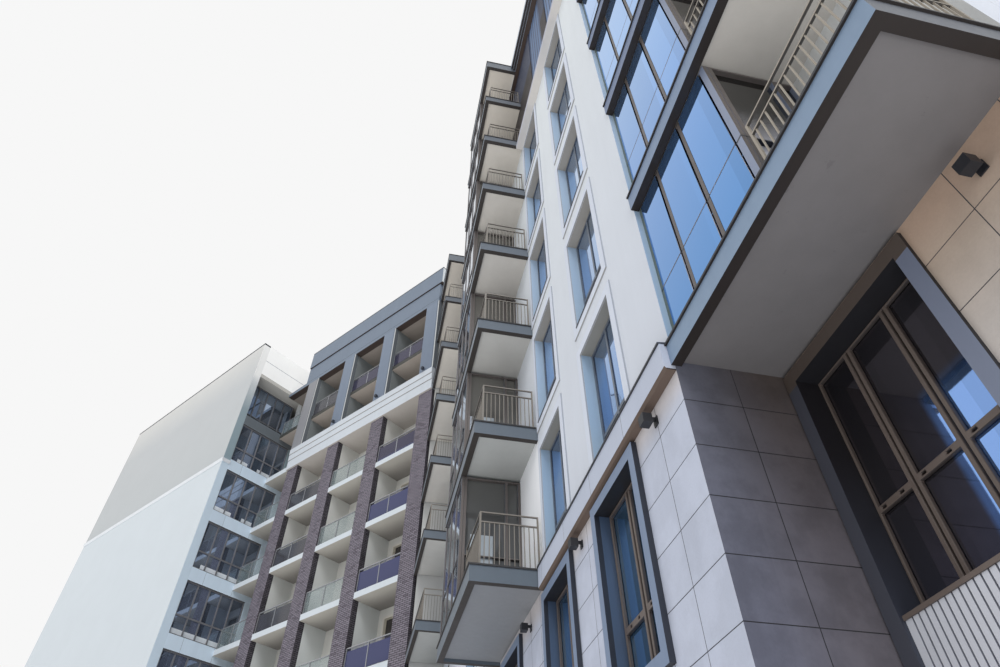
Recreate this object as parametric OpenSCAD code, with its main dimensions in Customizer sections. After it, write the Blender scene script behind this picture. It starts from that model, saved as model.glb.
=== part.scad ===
// Apartment block: three wings of one building joined round a bend.
// Every length below is the real one in millimetres; model_scale makes the 1:2 model.

/* [Scale] */
// Model length over real length
model_scale = 0.5; // [0.1:0.05:0.5]

/* [Storeys] */
// Ground to the first floor slab
ground_h = 3850; // [3600:50:4200]
// Floor to floor
storey_h = 3195; // [3100:5:3400]
// Thickness of the floor slabs
slab_t = 250; // [200:10:300]
// Height of the cream storeys' windows, from the floor
window_h = 2520; // [2300:20:2600]
// Height of the cream storeys' transoms, from the floor
window_transom = 730; // [650:10:800]
// Height of the doors to the balconies
door_h = 2300; // [2100:20:2400]

/* [Plan] */
// Thickness of the outer walls
wall_t = 450; // [400:10:500]
// Depth of the near and middle wings
wing_d = 15600; // [14800:100:16400]
// Length of the near wing's front
near_l = 23280; // [23000:20:24000]
// Length of the middle wing's front
middle_l = 13350; // [13000:50:13800]
// Angle between the near and middle fronts
bend = 39; // [36:0.5:42]
// Width of the left wing's blank end wall
left_w = 15600; // [14800:100:16400]
// Projection of the left wing beyond the middle front
left_proj = 2900; // [2700:10:3200]

/* [Near front] */
// Width of the cream storeys' windows
col_w = 1440; // [1300:20:1500]
// Distance between the two window columns of a pair
col_pitch = 2850; // [2700:10:3000]
// Margin between a balcony stack and its first window centre
col_margin = 884; // [860:2:1000]
// Depth of the cream storeys' reveals
reveal = 190; // [150:10:250]
// Depth of the base windows' reveals
base_reveal = 190; // [150:10:250]
// Width of the raised surround round a window
surround_w = 170; // [120:10:180]
// How far the raised surround stands out
surround_t = 25; // [15:5:60]
// Height of the string course, which ends level with the first floor
string_h = 400; // [350:10:450]
// How far the string course stands out
string_proj = 140; // [110:5:160]
// First floor level of the attic down to the underside of the cornice
cornice_h = 620; // [580:10:660]
// How far the cornice stands out
cornice_proj = 250; // [200:10:300]
// Height of the cornice's face
cornice_face_h = 220; // [180:10:260]
// Height of the cornice's slope above its face
cornice_slope_h = 280; // [200:10:360]
// Width of the base windows, metal surround included
base_window_w = 1735; // [1600:5:1900]
// How far the base windows stand off the window columns, towards the bend
base_shift = 100; // [0:10:180]
// Height of the stone strip between the base windows and the string course
base_gap = 40; // [20:5:80]
// Width of a base window's metal surround
base_surround_w = 160; // [80:10:180]
// How far a base window's metal surround stands out
base_surround_t = 75; // [40:5:100]
// Width of the attic windows
attic_w = 1400; // [1200:20:1500]
// Distance between the attic windows of a pair
attic_pitch = 1970; // [1800:10:2100]
// Margin between a balcony stack and its first attic window centre
attic_margin = 2314; // [2200:2:2400]
// Depth of the attic windows' reveals
attic_reveal = 40; // [20:5:100]
// Distances from the corner to the wall lamps
lamp_places = [703, 3743, 6945]; // [500:1:8000]
// Distance from the near end to the lamp in the corner bay
bay_lamp = 872; // [800:1:1100]
// Height of the lamps under the string course
lamp_drop = 205; // [150:5:250]

/* [Corner balconies] */
// Width of the balcony bay at the near end
corner_w = 3920; // [3800:20:4100]
// Depth of the bay behind the front
corner_d = 1395; // [1300:5:1500]
// Glazed width of each corner balcony
corner_glazed_w = 2240; // [2000:20:2400]
// Distance from the corner to the balcony doors behind the bay
corner_door_in = 700; // [500:50:1000]
// Width of those balcony doors
corner_door_w = 1600; // [1400:50:2000]
// How far the corner glazing stands back from the front
corner_glass_inset = 90; // [60:5:120]
// Width of the first light of the corner glazing
first_light_w = 665; // [600:5:740]
// Width of the recessed window, surround included
recess_w = 2150; // [2000:10:2200]
// Width of the recessed window's surround
recess_surround_w = 175; // [120:5:200]
// How far the recessed window's surround stands out
recess_surround_t = 45; // [20:5:60]
// Depth of the recessed window's reveal
recess_reveal = 300; // [250:10:350]

/* [Balcony stacks] */
// Width of the full stack
stack_w = 4000; // [3800:20:4200]
// Width of the stack beside the bend
bend_stack_w = 3050; // [2900:10:3200]
// How far the stacks project
stack_proj = 1380; // [1200:10:1500]
// Open width at the near end of each balcony
stack_open_w = 1650; // [1500:10:1800]
// Distance from the near end to the full stack
stack_near_gap = 9764; // [9700:2:9900]
// Distance from the full stack's far end to the windows behind it
stack_window_in = 480; // [300:10:700]
// Thickness of the wall between the bend and the stack beside it
bend_wall_t = 200; // [150:10:250]
// How far that wall stands back from the balconies' front
bend_wall_inset = 140; // [100:10:200]

/* [Balcony details] */
// Height of the metal fascia
fascia_h = 330; // [280:10:400]
// Thickness of the dark cap on the fascia
cap_t = 30; // [20:5:50]
// How far the cap and the drip lines stand out
cap_lip = 25; // [15:5:40]
// Overhang of the near wing's eave at the soffit
eave = 165; // [150:5:200]
// How far each of the eave's steps stands out
eave_step = 90; // [70:5:110]
// Height of the roof edge above the top slab
roof_edge_h = 250; // [200:10:300]
// Overhang of the roofs at the end and the rear
roof_end = 60; // [40:10:100]
// Width of the metal border under each slab
border_w = 130; // [100:10:160]
// Depth of the soffit panel inside the border
soffit_inset = 70; // [30:5:90]
// Height of the railings above the slab
rail_h = 1080; // [950:10:1200]
// Distance between the two top rails
rail_step = 200; // [120:10:240]
// How far the railings stand behind the slabs' front edges
rail_inset = 180; // [100:10:220]
// Gap between the railings and the slabs' ends, walls and enclosures
rail_gap = 60; // [40:5:90]
// Distance between balusters
baluster_gap = 95; // [80:5:140]
// Width of the enclosures' posts
post_w = 60; // [50:5:90]
// Width of the enclosures' corner posts
corner_post_w = 95; // [80:5:120]
// Height of the enclosures' transoms
transom_h = 1000; // [900:20:1100]
// Thickness of the enclosures' transoms
transom_t = 20; // [15:5:60]
// Thickness of the enclosures' heads and sills
edge_t = 40; // [30:5:60]

/* [Middle front] */
// Width of the brick piers
pier_w = 900; // [800:20:1000]
// Distance between the piers
pier_pitch = 3450; // [3400:10:3500]
// Depth of the brick piers
pier_d = 300; // [250:10:400]
// Depth of the balconies
middle_balcony_d = 1500; // [1300:10:1700]
// Height of the middle wing's railings
middle_rail_h = 1000; // [900:10:1100]
// Height of the white slab edges
edge_h = 270; // [240:10:320]
// Width of the attic pilasters
pilaster_w = 960; // [800:10:1000]
// How far the band, pilasters and roof edge stand out
attic_proj = 150; // [100:10:200]
// Depth of the white band below the attic floor
band_drop = 310; // [280:10:340]
// Height of the white band above the attic floor
band_rise = 1060; // [1000:20:1200]
// Heights of the two courses of the roof edge
roof_courses = [1250, 1350]; // [1000:10:1500]
// How far the roof edge runs past the first pilaster and past the bend
roof_runs = [300, 180]; // [100:10:350]

/* [Left wing] */
// Width of the solid corner beside the loggias
loggia_corner_w = 450; // [400:10:600]
// Far end of the loggia glazing behind the middle front
loggia_run_in = 900; // [700:10:1000]
// How far the top loggia's glazing stands back
top_recess = 900; // [600:50:1200]
// Height of the loggias' transoms
loggia_transom = 900; // [800:20:1000]
// Height of the spandrels between the loggias, below the floor
spandrel_h = 590; // [540:10:700]
// Height of those spandrels above the floor
spandrel_rise = 80; // [40:10:150]
// Height of the parapet above the roof
parapet_h = 2660; // [2500:20:2800]
// Drop of the gable's band below the attic floor
gable_band_drop = 150; // [100:10:200]

/* [Hidden fronts] */
// Distance between the windows of the fronts away from the street
rear_pitch = 3450; // [3300:50:3800]

/* [Hidden] */

stone_level = 1;
cornice_level = 6;
roof_level = 8;
joint = 6;
eps = 1;

function lvl(k) = k < 0 ? 0 : ground_h + storey_h * k;

// Places along the near front, from the bend (0) to the near end (near_l)
corner_x = near_l - corner_w;
stack_x1 = near_l - stack_near_gap;
stack_x0 = stack_x1 - stack_w;
cols = [
    stack_x0 - col_margin - col_pitch,
    stack_x0 - col_margin,
    stack_x1 + col_margin,
    stack_x1 + col_margin + col_pitch
];
glazed_x = corner_x + corner_glazed_w;
string_top = lvl(stone_level);
string_z = string_top - string_h;

// Clear lengths of the near front between the balcony stacks and up to the corner
near_runs = [[bend_stack_w + cap_lip, stack_x0 - cap_lip], [stack_x1 + cap_lip, corner_x]];

// Places of the left wing, across the middle front
gable_y = -left_proj;
left_rear_y = wing_d + left_proj;
left_top = lvl(roof_level) + parapet_h;
left_roof_z = lvl(roof_level) + slab_t;
band_z = lvl(cornice_level) - gable_band_drop;

// Where a line parallel to the near front (y = a) meets one parallel to the middle front (y = c there)
function bend_x(a, c) = (cos(bend) * (a + stack_proj) - c) / sin(bend);
function bend_t(a, c) = middle_l + cos(bend) * bend_x(a, c) + sin(bend) * (a + stack_proj);

module near_frame() {
    scale(model_scale)
        translate([-near_l / 2, -wing_d / 2, 0])
            children();
}

module middle_frame() {
    near_frame()
        translate([0, -stack_proj, 0])
            rotate(bend)
                translate([-middle_l, 0, 0])
                    children();
}

module prism(points, z0, z1) {
    translate([0, 0, z0])
        linear_extrude(z1 - z0)
            polygon(points);
}

module box(x0, x1, y0, y1, z0, z1) {
    translate([x0, y0, z0])
        cube([x1 - x0, y1 - y0, z1 - z0]);
}

// Wall pieces that stand between openings [x0, x1] along a wall from a to b
function pier_spans(a, b, openings) = [
    for (i = [0 : len(openings)])
        [i == 0 ? a : openings[i - 1][1], i == len(openings) ? b : openings[i][0]]
];

function centred(list, w) = [for (c = list) [c - w / 2, c + w / 2]];

// Openings in the near front, from the bend to the corner
cream_openings = [
    [250, 250 + col_w - 240],
    each centred([cols[0], cols[1]], col_w),
    [stack_x0 + stack_window_in, stack_x0 + stack_window_in + col_w],
    each centred([cols[2], cols[3]], col_w)
];
base_openings = [
    [250, 250 + col_w - 240],
    each centred([cols[0] + base_shift, cols[1] + base_shift], base_window_w),
    [stack_x0 + stack_window_in, stack_x0 + stack_window_in + base_window_w],
    each centred([cols[2] - base_shift, cols[3] - base_shift], base_window_w)
];
attic_openings = [
    [250, 250 + col_w - 240],
    each centred([stack_x0 - attic_margin - attic_pitch, stack_x0 - attic_margin], attic_w),
    [stack_x0 + stack_window_in, stack_x0 + stack_window_in + col_w],
    each centred([stack_x1 + attic_margin, stack_x1 + attic_margin + attic_pitch], attic_w)
];
recess_opening = [corner_x + 20, corner_x + 20 + recess_w];
recess_z = [300, string_z + 85];
corner_door = [corner_x + corner_door_in, corner_x + corner_door_in + corner_door_w];
base_sill = [600, lvl(0) + 90];
base_head = [lvl(0) - 550, string_z - base_gap];

// Part of the near front wall between x0 and x1; its first piece is mitred into the middle wing
module near_wall(x0, x1, z0, z1) {
    at_bend = x0 < 0;
    prism([
        [at_bend ? bend_x(0, middle_balcony_d) : x0, 0],
        [x1, 0],
        [x1, wall_t],
        [at_bend ? bend_x(wall_t, middle_balcony_d + wall_t) : x0, wall_t]
    ], z0, z1);
}

module near_wall_piers(openings, z0, z1) {
    for (s = pier_spans(-1, corner_x, openings))
        near_wall(s[0], s[1], z0, z1);
}

// Walls that the street does not see. Each runs along +x from 0 to its length, with its outer face
// at y = 0; a mitre is how much shorter the inner face is at that end.
rear_bend = wall_t * tan(bend / 2);
near_rear_l = near_l - bend_x(wing_d, wing_d);
middle_rear_l = bend_t(wing_d, wing_d);
end_l = wing_d - corner_d - wall_t;
left_depth = left_rear_y - gable_y - wall_t;

module near_side_walls() {
    near_frame() {
        translate([near_l, corner_d + wall_t, 0])
            rotate(90)
                wall_run(end_l, 0, wall_t) children();
        translate([near_l, wing_d, 0])
            rotate(180)
                wall_run(near_rear_l, wall_t, rear_bend) children();
    }
}

module middle_side_walls() {
    middle_frame()
        translate([middle_rear_l, wing_d, 0])
            rotate(180)
                wall_run(middle_rear_l, rear_bend, 0) children();
}

module left_side_walls() {
    middle_frame() {
        translate([0, wing_d, 0])
            rotate(90)
                wall_run(left_proj, 0, wall_t) children();
        translate([0, left_rear_y, 0])
            rotate(180)
                wall_run(left_w, wall_t, wall_t) children();
        translate([-left_w, left_rear_y, 0])
            rotate(-90)
                wall_run(left_depth, wall_t, 0) children();
    }
}

module wall_run(l, m0, m1) {
    $l = l;
    $m0 = m0;
    $m1 = m1;
    children();
}

function hidden_openings(l) = let (n = floor(l / rear_pitch))
    n < 2 ? [] : centred([for (i = [0 : n - 1]) l / 2 + (i - (n - 1) / 2) * rear_pitch], col_w);

module hidden_piece(x0, x1, z0, z1) {
    first = x0 < 1;
    last = x1 > $l - 1;
    prism([
        [first ? joint : x0, 0],
        [last ? $l - joint : x1, 0],
        [last ? $l - joint - $m1 : x1, wall_t],
        [first ? joint + $m0 : x0, wall_t]
    ], z0, z1);
}

module hidden_piers(z0, z1) {
    for (s = pier_spans(0, $l, hidden_openings($l)))
        hidden_piece(s[0], s[1], z0, z1);
}

module hidden_base_bands() {
    hidden_piece(0, $l, 0, base_sill[0]);
    hidden_piece(0, $l, base_head[0], base_sill[1]);
    hidden_piece(0, $l, base_head[1], lvl(stone_level));
}

module hidden_base_piers() {
    hidden_piers(base_sill[0], base_head[0]);
    hidden_piers(base_sill[1], base_head[1]);
}

module hidden_cream_bands(top) {
    for (k = [stone_level + 1 : top])
        hidden_piece(0, $l, lvl(k) - storey_h + window_h, lvl(k));
}

module hidden_cream_piers(top) {
    for (k = [stone_level : top - 1])
        hidden_piers(lvl(k), lvl(k) + window_h);
}

module stone_base_bands() {
    color("#b3aaa6") {
        near_frame() {
            near_wall(-1, corner_x, 0, base_sill[0]);
            near_wall(-1, corner_x, base_head[0], base_sill[1]);
            near_wall(-1, corner_x, base_head[1], lvl(stone_level));
            for (z = [[0, recess_z[0]], [recess_z[1], lvl(stone_level)]])
                box(corner_x, near_l, corner_d, corner_d + wall_t, z[0], z[1]);
        }
        near_side_walls() hidden_base_bands();
        middle_side_walls() hidden_base_bands();
        left_side_walls() hidden_base_bands();
    }
}

module stone_base_piers() {
    color("#a9a09d") {
        near_frame() {
            near_wall_piers(base_openings, base_sill[0], base_head[0]);
            near_wall_piers(base_openings, base_sill[1], base_head[1]);
            for (s = pier_spans(corner_x, near_l, [recess_opening]))
                box(s[0], s[1], corner_d, corner_d + wall_t, recess_z[0], recess_z[1]);
        }
        near_side_walls() hidden_base_piers();
        middle_side_walls() hidden_base_piers();
        left_side_walls() hidden_base_piers();
    }
}

module ring(w, h, t) {
    difference() {
        square([w, h]);
        translate([t, t])
            square([w - 2 * t, h - 2 * t]);
    }
}

// A flat piece drawn in x and z and given thickness along y
module upright(y0, y1) {
    translate([0, y1, 0])
        rotate([90, 0, 0])
            linear_extrude(y1 - y0)
                children();
}

module base_surrounds() {
    color("#4d545c")
        near_frame() {
            for (o = base_openings, s = [0, 1])
                if (o[0] > 300)
                    upright(-base_surround_t, base_reveal)
                        translate([o[0], base_sill[s]])
                            ring(o[1] - o[0], base_head[s] - base_sill[s], base_surround_w);
            upright(corner_d - recess_surround_t, corner_d + recess_reveal)
                translate([recess_opening[0], recess_z[0]])
                    ring(recess_w, recess_z[1] - recess_z[0], recess_surround_w);
        }
}

panel_rib = 80;
panel_groove = 18;

module ribbed_panel() {
    w = recess_w - 2 * recess_surround_w;
    color("#e4e5e6")
        near_frame()
            translate([recess_opening[0] + recess_surround_w, corner_d, base_head[0] - 300])
                linear_extrude(lvl(0) - base_head[0] + 300)
                    difference() {
                        square([w, 60]);
                        for (x = [panel_rib : panel_rib : w - panel_rib / 2])
                            translate([x, -eps])
                                square([panel_groove, panel_groove + eps]);
                    }
}

// A profile [out, z] run along the near front between x0 and x1
module run_profile(points, x0, x1) {
    translate([x0, 0, 0])
        rotate([90, 0, 90])
            linear_extrude(x1 - x0)
                polygon([for (p = points) [-p[0], p[1]]]);
}

module string_course() {
    color("#b9b2ae")
        near_frame()
            for (s = near_runs)
                run_profile([
                    [0, string_z],
                    [string_proj - 30, string_z],
                    [string_proj, string_z + 40],
                    [string_proj, string_z + string_h],
                    [0, string_z + string_h]
                ], s[0], s[1]);
}

module drip_cap() {
    color("#3c3f45")
        near_frame()
            for (s = near_runs)
                run_profile([
                    [0, string_z + string_h],
                    [string_proj + 20, string_z + string_h],
                    [string_proj + 20, string_z + string_h + 25],
                    [0, string_z + string_h + 50]
                ], s[0], s[1]);
}

module cream_bands() {
    color("#e6e2d8") {
        near_frame() {
            for (k = [stone_level + 1 : cornice_level])
                near_wall(-1, corner_x, lvl(k) - storey_h + window_h, lvl(k));
            for (k = [stone_level + 1 : roof_level])
                box(corner_door[0], corner_door[1], corner_d, corner_d + wall_t,
                    lvl(k) - storey_h + door_h, lvl(k) - (k == roof_level ? slab_t : 0));
        }
        near_side_walls() hidden_cream_bands(cornice_level);
        middle_side_walls() hidden_cream_bands(cornice_level);
        left_side_walls() hidden_cream_bands(roof_level);
    }
}

module cream_piers() {
    color("#e6e2d8") {
        near_frame() {
            for (k = [stone_level : cornice_level - 1])
                near_wall_piers(cream_openings, lvl(k), lvl(k) + window_h);
            for (s = pier_spans(corner_x, near_l, [corner_door]))
                box(s[0], s[1], corner_d, corner_d + wall_t, lvl(stone_level), lvl(roof_level) - slab_t);
        }
        near_side_walls() hidden_cream_piers(cornice_level);
        middle_side_walls() hidden_cream_piers(cornice_level);
        left_side_walls() hidden_cream_piers(roof_level);
    }
}

// The walls that close the corner bay and the stack beside the bend on their left
module return_walls() {
    color("#cdc8c0")
        near_frame() {
            box(corner_x - wall_t, corner_x, wall_t, corner_d + wall_t, 0, lvl(roof_level) - slab_t);
            prism([
                [0, bend_wall_inset - stack_proj],
                [0, 0],
                [-bend_wall_t, 0],
                [-bend_wall_t, bend_wall_t / tan(bend) - stack_proj],
                [-bend_wall_inset * tan(bend), bend_wall_inset - stack_proj]
            ], 0, lvl(roof_level) - slab_t);
        }
}

// The surround is an open-bottomed frame above the string course and a full ring above that;
// beside a balcony stack it stops at the slabs' edges.
module window_surrounds() {
    color("#efede6")
        near_frame()
            for (x = cols, k = [stone_level : cornice_level - 1]) {
                z0 = k == stone_level ? string_z + string_h + 50 : lvl(k) - surround_w;
                z1 = k == stone_level ? z0 - eps : lvl(k);
                x0 = x - col_w / 2;
                top = min(lvl(k) + window_h + surround_w, lvl(cornice_level) - cornice_h);
                left = x == cols[2] ? stack_x1 + cap_lip : x0 - surround_w;
                right = x == cols[1] ? stack_x0 - cap_lip : x0 + col_w + surround_w;
                upright(-surround_t, 0)
                    difference() {
                        translate([left, z0])
                            square([right - left, top - z0]);
                        translate([x0, z1])
                            square([col_w, lvl(k) + window_h - z1]);
                    }
            }
}

module cream_cornice() {
    z = lvl(cornice_level) - cornice_h;
    color("#ddd8cc")
        near_frame()
            for (s = near_runs)
                run_profile([
                    [0, z],
                    [cornice_proj, z],
                    [cornice_proj, z + cornice_face_h],
                    [0, z + cornice_face_h + cornice_slope_h]
                ], s[0], s[1]);
}

module attic_piers() {
    color("#4a4f58") {
        near_frame()
            near_wall_piers(attic_openings, lvl(cornice_level), lvl(roof_level) - slab_t);
        near_side_walls() hidden_piers(lvl(cornice_level), lvl(roof_level) - slab_t);
        middle_side_walls() hidden_piers(lvl(cornice_level), lvl(roof_level) - slab_t);
    }
}

module near_floors() {
    color("#c9c6c0")
        near_frame()
            for (k = [-1 : roof_level - 1]) {
                z1 = k < 0 ? slab_t : lvl(k);
                prism([
                    [bend_x(wall_t, middle_balcony_d + wall_t), wall_t],
                    [corner_x - wall_t - joint, wall_t],
                    [corner_x - wall_t - joint, wing_d - wall_t],
                    [bend_x(wing_d - wall_t, wing_d - wall_t), wing_d - wall_t]
                ], z1 - slab_t, z1);
                box(corner_x - wall_t, near_l - wall_t, corner_d + wall_t, wing_d - wall_t, z1 - slab_t, z1);
            }
}

// The eave steps out twice below the roof edge, but not where a balcony stack joins it
module near_roof() {
    z = lvl(roof_level);
    end_x = near_l + roof_end;
    rear_y = wing_d + roof_end;
    rear_x = bend_x(rear_y, rear_y);
    start_x = bend_stack_w + cap_lip;
    color("#5b626b")
        near_frame()
            difference() {
                union() {
                    prism([[0, -eave], [end_x, -eave], [end_x, rear_y], [rear_x, rear_y]],
                        z - slab_t, z + roof_edge_h);
                    for (i = [1, 2]) {
                        c = i * eave_step;
                        prism([
                            [start_x, -eave],
                            [start_x, -eave - c],
                            [end_x + c, -eave - c],
                            [end_x + c, rear_y + c],
                            [rear_x, rear_y + c],
                            [rear_x, rear_y],
                            [end_x, rear_y],
                            [end_x, -eave]
                        ], z - (2 - i) * slab_t / 2, z + (i - 1) * roof_edge_h);
                    }
                }
                box(stack_x0 - cap_lip, stack_x1 + cap_lip, -eave - 2 * eave_step - eps, -eave,
                    z - slab_t, z + roof_edge_h + eps);
            }
}

// A wall plate, an arm and the lamp's body
module lamp() {
    box(-50, 50, -15, 0, -60, 60);
    box(-20, 20, -80, -15, 10, 50);
    box(-70, 70, -200, -80, -65, 65);
}

module wall_lamps() {
    color("#26292e")
        near_frame() {
            for (d = lamp_places)
                translate([corner_x - d, 0, string_z - lamp_drop])
                    lamp();
            translate([near_l - bay_lamp, corner_d, string_z - lamp_drop])
                lamp();
        }
}

// One balcony slab with its top at z: metal fascia of height h with a cap, and a soffit panel inside a
// metal border. A slab that ends against a wall has neither cap nor border on its left.
module balcony_slab(w, d, z, h, free_left) {
    lip = free_left ? cap_lip : 0;
    edge = free_left ? border_w : -eps;
    difference() {
        union() {
            box(0, w, 0, d, z - h, z - cap_t);
            box(-lip, w + cap_lip, -cap_lip, d, z - cap_t, z);
        }
        box(edge, w - border_w, border_w, d + eps, z - h - eps, z - h + soffit_inset);
    }
}

module corner_balconies() {
    color("#68727c")
        near_frame()
            for (k = [stone_level : roof_level - 1])
                translate([corner_x, -50, 0])
                    balcony_slab(corner_w, corner_d + 50, lvl(k), fascia_h, false);
}

// The top slab of a stack is its roof, as thick as the near wing's roof and its edge
module stack_slab(w, k, free_left) {
    top = k == roof_level;
    balcony_slab(w, top ? stack_proj - eave : stack_proj,
        lvl(k) + (top ? roof_edge_h : 0), top ? roof_edge_h + slab_t : fascia_h, free_left);
}

module stack_balconies() {
    color("#5f6973")
        near_frame()
            for (k = [stone_level : roof_level]) {
                translate([stack_x0, -stack_proj, 0])
                    stack_slab(stack_w, k, true);
                translate([cap_lip, -stack_proj, 0])
                    stack_slab(bend_stack_w - cap_lip, k, false);
            }
}

bar_w = 30;

// Railing panel along +x: two top rails, end posts and balusters that stand on the slab
module railing(l) {
    n = floor(l / baluster_gap);
    for (z = [rail_h, rail_h - rail_step])
        box(0, l, 0, bar_w, z - 25, z);
    for (x = [0, l - bar_w])
        box(x, x + bar_w, 0, bar_w, 0, rail_h);
    for (i = [1 : n - 1])
        box(i * l / n - 8, i * l / n + 8, 7, 23, 0, rail_h - rail_step - 10);
}

// A railing round the near end of a balcony: open_w along the front, then back to the wall behind
module railing_corner(open_w, d) {
    translate([-open_w, rail_inset, 0])
        railing(open_w - rail_gap - bar_w - joint);
    translate([-rail_gap, rail_inset, 0])
        rotate(90)
            railing(d - rail_inset - rail_gap);
}

module corner_railings() {
    color("#8d8880")
        near_frame()
            for (k = [stone_level : roof_level - 1])
                translate([near_l, -50, lvl(k)])
                    railing_corner(near_l - glazed_x - rail_gap, corner_d + 50);
}

module stack_railings() {
    color("#8d8880")
        near_frame()
            for (k = [stone_level : roof_level - 1]) {
                translate([stack_x1, -stack_proj, lvl(k)])
                    railing_corner(stack_open_w - rail_gap, stack_proj);
                translate([bend_stack_w, -stack_proj, lvl(k)])
                    railing_corner(bend_stack_w - cap_lip - rail_gap, stack_proj);
            }
}

// Glazing frame in x and z, w wide and h high: a post at each place in posts, an end post of its own
// width, a transom t thick centred at its height, and a head and a sill e thick
module glazing_frame(w, h, posts, end_w, transom, t, e) {
    difference() {
        square([w, h]);
        for (i = [0 : len(posts) - 1]) {
            x0 = posts[i] + post_w;
            x1 = i == len(posts) - 1 ? w - end_w : posts[i + 1];
            for (z = [[e, transom - t / 2], [transom + t / 2, h - e]])
                translate([x0, z[0]])
                    square([x1 - x0, z[1] - z[0]]);
        }
    }
}

function even_posts(w, lights) = [for (i = [0 : lights - 1]) i * (w - post_w) / lights];

// An enclosure's end wall has one mullion, nearer the building than the front
function end_posts(d) = [0, 0.72 * d];

// Height of an enclosure on level k; the top one reaches up to the roof
function enclosure_h(k) = storey_h - (k == roof_level - 1 ? slab_t : fascia_h);

corner_second_w = (corner_glazed_w - corner_post_w - first_light_w) / 2;

module corner_enclosures() {
    y1 = corner_glass_inset + post_w;
    d = corner_d - y1 - joint;
    color("#4e4a47")
        near_frame()
            for (k = [stone_level : roof_level - 1]) {
                h = enclosure_h(k);
                upright(corner_glass_inset, y1)
                    translate([corner_x, lvl(k)])
                        glazing_frame(corner_glazed_w, h, [0, first_light_w, first_light_w + corner_second_w],
                            corner_post_w, transom_h, transom_t, edge_t);
                translate([glazed_x, y1 + joint, lvl(k)])
                    rotate(90)
                        upright(0, post_w)
                            glazing_frame(d, h, end_posts(d), post_w, transom_h, transom_t, edge_t);
            }
}

// Front and ends of the full stack's enclosures, which leave the near end of each balcony open
stack_glazed = [stack_x0 + 30, stack_x1 - stack_open_w];
stack_glass_y = -stack_proj + 30;

module stack_enclosures() {
    w = stack_glazed[1] - stack_glazed[0];
    d = -stack_glass_y - post_w - joint;
    color("#4e4a47")
        near_frame()
            for (k = [stone_level : roof_level - 1]) {
                h = enclosure_h(k);
                upright(stack_glass_y, stack_glass_y + post_w)
                    translate([stack_glazed[0], lvl(k)])
                        glazing_frame(w, h, even_posts(w, 3), post_w, transom_h, transom_t, edge_t);
                for (x = [stack_glazed[0] + post_w, stack_glazed[1]])
                    translate([x, stack_glass_y + post_w + joint, lvl(k)])
                        rotate(90)
                            upright(0, post_w)
                                glazing_frame(d, h, end_posts(d), post_w, transom_h, transom_t, edge_t);
            }
}

glass_t = 24;

// One sheet behind an enclosure's front, from x0 to x1, and one behind each end that is named
module enclosure_sheets(x0, x1, y0, ends, z, h) {
    y1 = y0 + post_w + glass_t;
    box(x0 + joint, x1 - post_w - joint, y1 - glass_t, y1, z, z + h);
    for (x = ends)
        box(x, x + glass_t, y1 + joint, y0 < 0 ? 0 : corner_d, z, z + h);
}

module enclosure_glass() {
    color("#7fa6cf", 0.6)
        near_frame()
            for (k = [stone_level : roof_level - 1]) {
                enclosure_sheets(corner_x, glazed_x, corner_glass_inset, [glazed_x - post_w - glass_t],
                    lvl(k), enclosure_h(k));
                enclosure_sheets(stack_glazed[0] + post_w, stack_glazed[1], stack_glass_y,
                    [stack_glazed[0] + post_w, stack_glazed[1] - post_w - glass_t],
                    lvl(k), enclosure_h(k));
            }
}

// Right faces of the brick piers, from the bend leftwards
pier_x = [for (i = [3 : -1 : 0]) middle_l - i * pier_pitch - pier_w];
// Left end of the white band and the roof edge
band_x = pier_x[0] - 60;

module brick_piers() {
    color("#6a565c")
        middle_frame()
            for (x = pier_x)
                box(x, x + pier_w, 0, pier_d, 0, lvl(cornice_level) - band_drop);
}

module balcony_fins() {
    color("#cfc6b6")
        middle_frame()
            for (x = pier_x)
                box(x, x + pier_w, pier_d, middle_balcony_d, 0, lvl(cornice_level) - band_drop);
}

// Bays of the middle front, from the left wing to the last pier
middle_bays = [
    [0, pier_x[0]],
    for (i = [0 : 2]) [pier_x[i] + pier_w, pier_x[i + 1]]
];

module middle_balconies() {
    color("#e9e6df")
        middle_frame() {
            for (b = middle_bays, k = [0 : cornice_level - 1])
                box(b[0], b[1], 0, middle_balcony_d, lvl(k) - edge_h, lvl(k));
            box(0, band_x, 0, middle_balcony_d, lvl(cornice_level) - band_drop, lvl(cornice_level));
        }
}

middle_doors = [
    for (i = [0 : 3]) [middle_bays[i][0] + (i == 0 ? 100 : 1000), middle_bays[i][1] - 150]
];

module middle_wall(x0, x1, z0, z1) {
    at_bend = x1 > middle_l - 1;
    prism([
        [x0, middle_balcony_d],
        [at_bend ? bend_t(0, middle_balcony_d) : x1, middle_balcony_d],
        [at_bend ? bend_t(wall_t, middle_balcony_d + wall_t) : x1, middle_balcony_d + wall_t],
        [x0, middle_balcony_d + wall_t]
    ], z0, z1);
}

module middle_back_bands() {
    color("#e2dac8")
        middle_frame()
            for (k = [0 : roof_level])
                middle_wall(0, middle_l, lvl(k) - (k == 0 ? ground_h - door_h : storey_h - door_h),
                    k == roof_level ? lvl(k) - slab_t : lvl(k));
}

module middle_back_piers() {
    color("#e2dac8")
        middle_frame()
            for (k = [-1 : roof_level - 1], s = pier_spans(0, middle_l, middle_doors))
                middle_wall(s[0], s[1], lvl(k), lvl(k) + door_h);
}

module white_band() {
    z = lvl(cornice_level);
    color("#eeeeec")
        middle_frame()
            run_profile([
                [-middle_balcony_d, z - band_drop],
                [attic_proj - 60, z - band_drop],
                [attic_proj - 60, z + 0.28 * band_rise],
                [attic_proj - 30, z + 0.28 * band_rise],
                [attic_proj - 30, z + 0.66 * band_rise],
                [attic_proj, z + 0.66 * band_rise],
                [attic_proj, z + band_rise],
                [-100, z + band_rise],
                [-100, z],
                [-middle_balcony_d, z]
            ], band_x, middle_l);
}

pilaster_x = [for (x = pier_x) x + (pier_w - pilaster_w) / 2];

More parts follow.
